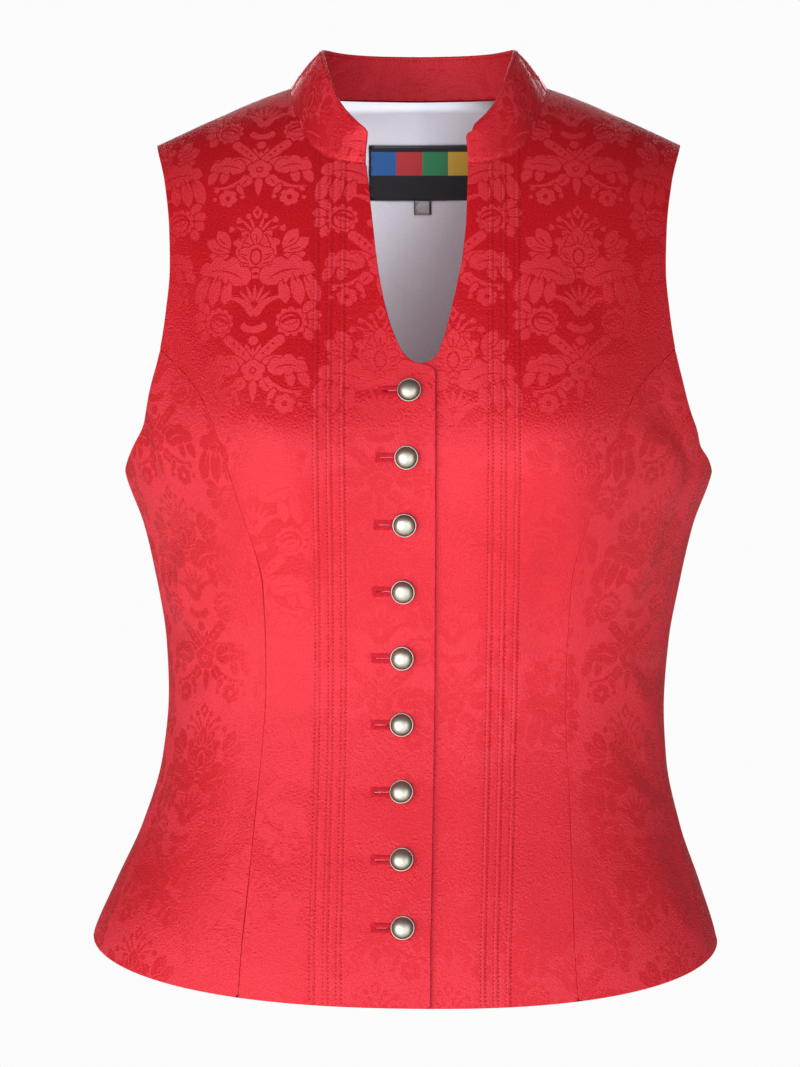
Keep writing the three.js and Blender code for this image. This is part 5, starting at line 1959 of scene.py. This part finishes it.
class BODICE_OT_stage(bpy.types.Operator):
    """Sets the floor, the soft lights and the camera"""

    bl_idname = "bodice.stage"
    bl_label = "Stage"

    def execute(self, context):
        given = context.scene.bodice_stage
        scene = context.scene
        floor = plain_mesh(
            "floor",
            np.array([(-1, -1, 0), (1, -1, 0), (1, 1, 0), (-1, 1, 0)]) * 6000.0 + (0, 0, given.floor / MM),
            np.array([[0, 1, 2, 3]]),
            studio_paper(),
        )
        world = scene.world or bpy.data.worlds.new("studio")
        scene.world = world
        world.use_nodes = True
        world.node_tree.nodes.clear()
        sky = world.node_tree
        # A white room with darker sides and ceiling: they give the satin its dark edges, and leave it deep
        # where it leans back.
        way = add(sky, "ShaderNodeTexCoord").outputs["Generated"]
        way = add(sky, "ShaderNodeSeparateXYZ", {"Vector": way})
        aside = add(sky, "ShaderNodeMath", {0: way.outputs["X"]}, operation="ABSOLUTE").outputs[0]
        walls = []
        sides, ceiling = (aside, 0.13, 0.3, given.side_light), (way.outputs["Z"], 0.33, 0.5, given.ceiling_light)
        for at, start, end, dark in (sides, ceiling):
            room = {"Value": at, "From Min": start, "From Max": end, "To Min": given.room_light, "To Max": dark}
            walls.append(add(sky, "ShaderNodeMapRange", room).outputs[0])
        strength = add(sky, "ShaderNodeMath", {0: walls[0], 1: walls[1]}, operation="MINIMUM").outputs[0]
        # The pale backdrop doesn't shine in the satin, whose outlines stay deep red in front of it.
        behind = {"Value": way.outputs["Y"], "From Max": 0.5, "To Min": 1.0, "To Max": given.backdrop_shine}
        behind = add(sky, "ShaderNodeMapRange", behind).outputs[0]
        dimmed = add(sky, "ShaderNodeMath", {0: strength, 1: behind}, operation="MULTIPLY").outputs[0]
        path = add(sky, "ShaderNodeLightPath").outputs
        shone = {0: path["Is Glossy Ray"], 2: strength, 3: dimmed}
        strength = add(sky, "ShaderNodeMix", shone, data_type="FLOAT").outputs[0]
        # The backdrop itself is pale from every side.
        seen = {0: path["Is Camera Ray"], 2: strength, 3: given.room_light}
        strength = add(sky, "ShaderNodeMix", seen, data_type="FLOAT").outputs[0]
        glow = add(sky, "ShaderNodeBackground", {"Color": (1, 1, 1, 1), "Strength": strength})
        add(sky, "ShaderNodeOutputWorld", {"Surface": glow.outputs[0]})
        # The inside of the neck is lit apart, as it is to show a lining: the other lights leave it out. The back
        # panels have one more light, linked to them alone so that it doesn't rim the front, and the floor has its
        # own.
        lit = {group: bpy.data.collections.new(group) for group in ("outside", *LIT_APART)}
        for made in scene.objects:
            if made.type == "MESH":
                groups = [group for group, names in LIT_APART.items() if made.name in names]
                for group in groups + ["outside"] * ("inside" not in groups):
                    lit[group].objects.link(made)
        middle = Vector((0, 0, given.middle))
        for name, group, turn, rise, away, wide, high, bright in LIGHTS:
            lamp = bpy.data.lights.new(name, "AREA")
            lamp.shape, lamp.size, lamp.size_y = "RECTANGLE", wide, high
            lamp.energy = bright * math.pi * wide * high * given.lamp_power
            light = bpy.data.objects.new(name, lamp)
            scene.collection.objects.link(light)
            light.light_linking.receiver_collection = lit[group]
            light.visible_camera = False
            t, r = math.radians(turn), math.radians(rise)
            way = Vector((math.sin(t) * math.cos(r), -math.cos(t) * math.cos(r), math.sin(r)))
            light.location = middle + way * away
            light.rotation_euler = way.to_track_quat("Z", "Y").to_euler()
        lens = bpy.data.cameras.new("camera")
        lens.lens, lens.sensor_width = given.lens, 36
        camera = bpy.data.objects.new("camera", lens)
        scene.collection.objects.link(camera)
        camera.location = (given.camera_x, -given.distance, given.middle)
        aim = Vector((given.aim_x, 0, given.middle)) - camera.location
        camera.rotation_euler = aim.to_track_quat("-Z", "Y").to_euler()
        scene.camera = camera
        scene.view_settings.view_transform = "Standard"
        return {"FINISHED"}


LIT_APART = {
    "inside": ("back_lining", "woven_neck_label", "woven_size_tab"),
    "behind": ("back_panel", "side_back_left_panel", "side_back_right_panel"),
    "ground": ("floor",),
}
LIGHTS = (
    # name, what it lights, turn round the bodice from the front, rise over it, distance, width, height, brightness
    ("left_softbox", "outside", -36, -5, 2.8, 2.9, 2.5, 4.65),
    ("right_softbox", "outside", 27, -5, 2.8, 2.3, 2.5, 2.55),
    ("back_softbox", "outside", 180, 34, 2.8, 2.0, 1.6, 4.0),
    ("rear_softbox", "behind", 180, -5, 2.8, 2.9, 2.5, 3.2),
    ("neck_softbox", "inside", 30, 38, 2.8, 1.3, 1.3, 15),
    ("floor_softbox", "ground", 0, 90, 2.8, 12, 12, 1.0),
)


# ---- The add-on ----------------------------------------------------------------------------------------


def colour_property(name, description, colour):
    return bpy.props.FloatVectorProperty(
        name=name, description=description, subtype="COLOR", size=3, min=0, max=1, default=linear(colour)[:3]
    )


def length_property(name, description, millimetres):
    return bpy.props.FloatProperty(
        name=name, description=description, default=millimetres * MM, unit="LENGTH", subtype="DISTANCE"
    )


def number_property(name, description, number, **more):
    return bpy.props.FloatProperty(name=name, description=description, default=number, **more)


class BodiceSewing(bpy.types.PropertyGroup):
    cloth: length_property("Cloth", "Thickness of the damask with its interlining", 1.6)
    grid: length_property("Grid", "Spacing of the points inside a panel", 6)
    edge_round: length_property("Edge", "Roundness of a turned edge", 0.5)
    tuck_high: length_property("Tuck height", "How far a pin tuck stands up", 0.35)
    stitch_pitch: length_property("Stitch pitch", "Distance from stitch to stitch", 2.3)
    stitch_long: length_property("Stitch length", "Length of thread that shows", 1.0)
    thread: length_property("Thread", "Thickness of the sewing thread", 0.58)


class BodiceColours(bpy.types.PropertyGroup):
    # Ground and figure are one yarn; the figure's slightly lighter colour is painted sheen, so that the pattern shows
    # without the satin's shine.
    ground: colour_property("Ground", "Damask where the warp lies on top", "#A0030D")
    figure: colour_property("Figure", "Damask where the weft lies on top", "#A60E17")
    # The thread's colour holds painted shade: it is deeper than the cloth's to stand for the dents that the stitches
    # sit in.
    thread: colour_property("Thread", "Sewing thread", "#780612")
    lining: colour_property("Lining", "Cotton lining", "#EEF4FF")
    pewter: colour_property("Pewter", "Polished pewter of the buttons", "#A6A398")


class BodiceStage(bpy.types.PropertyGroup):
    floor: number_property("Floor", "Height of the floor", -1.72, unit="LENGTH")
    middle: number_property("Middle", "Height of the camera", -0.27, unit="LENGTH")
    distance: number_property("Distance", "Camera to the bodice", 2.5, unit="LENGTH")
    lens: number_property("Lens", "Focal length, on a 36 mm sensor", 139.2, unit="CAMERA")
    camera_x: number_property("Camera across", "Camera's place across", 0.022, unit="LENGTH")
    aim_x: number_property("Aim across", "Where the camera aims", -0.0112, unit="LENGTH")
    lamp_power: number_property("Lamp power", "Share of each lamp's power", 1.0, min=0)
    room_light: number_property("Room light", "Light from the white room", 0.97, min=0)
    side_light: number_property("Side light", "Light from the sides", 0.36, min=0)
    ceiling_light: number_property("Ceiling light", "Light from the ceiling", 0.15, min=0)
    backdrop_shine: number_property("Backdrop shine", "Share of the backdrop that the satin mirrors", 0.18, min=0)


STEPS = (
    BODICE_OT_fronts,
    BODICE_OT_side_panels,
    BODICE_OT_back,
    BODICE_OT_collar,
    BODICE_OT_buttonholes,
    BODICE_OT_buttons,
    BODICE_OT_labels,
    BODICE_OT_stage,
)
SETTINGS = {"bodice_sewing": BodiceSewing, "bodice_colours": BodiceColours, "bodice_stage": BodiceStage}


class BODICE_PT_panel(bpy.types.Panel):
    """The bodice's sizes, colours and steps"""

    bl_idname = "BODICE_PT_panel"
    bl_label = "Dirndl bodice"
    bl_space_type = "VIEW_3D"
    bl_region_type = "UI"
    bl_category = "Bodice"

    def draw(self, context):
        for name, group in SETTINGS.items():
            box = self.layout.box()
            for key in group.__annotations__:
                box.prop(getattr(context.scene, name), key)
        for step in STEPS:
            self.layout.operator(step.bl_idname)


def register():
    for each in (*SETTINGS.values(), *STEPS, BODICE_PT_panel):
        bpy.utils.register_class(each)
    for name, group in SETTINGS.items():
        setattr(bpy.types.Scene, name, bpy.props.PointerProperty(type=group))


def unregister():
    for name in SETTINGS:
        delattr(bpy.types.Scene, name)
    for each in (BODICE_PT_panel, *reversed(STEPS), *reversed(SETTINGS.values())):
        bpy.utils.unregister_class(each)


def main():
    register()
    for step in STEPS:
        group, name = step.bl_idname.split(".")
        getattr(getattr(bpy.ops, group), name)()


if __name__ == "__main__":
    main()
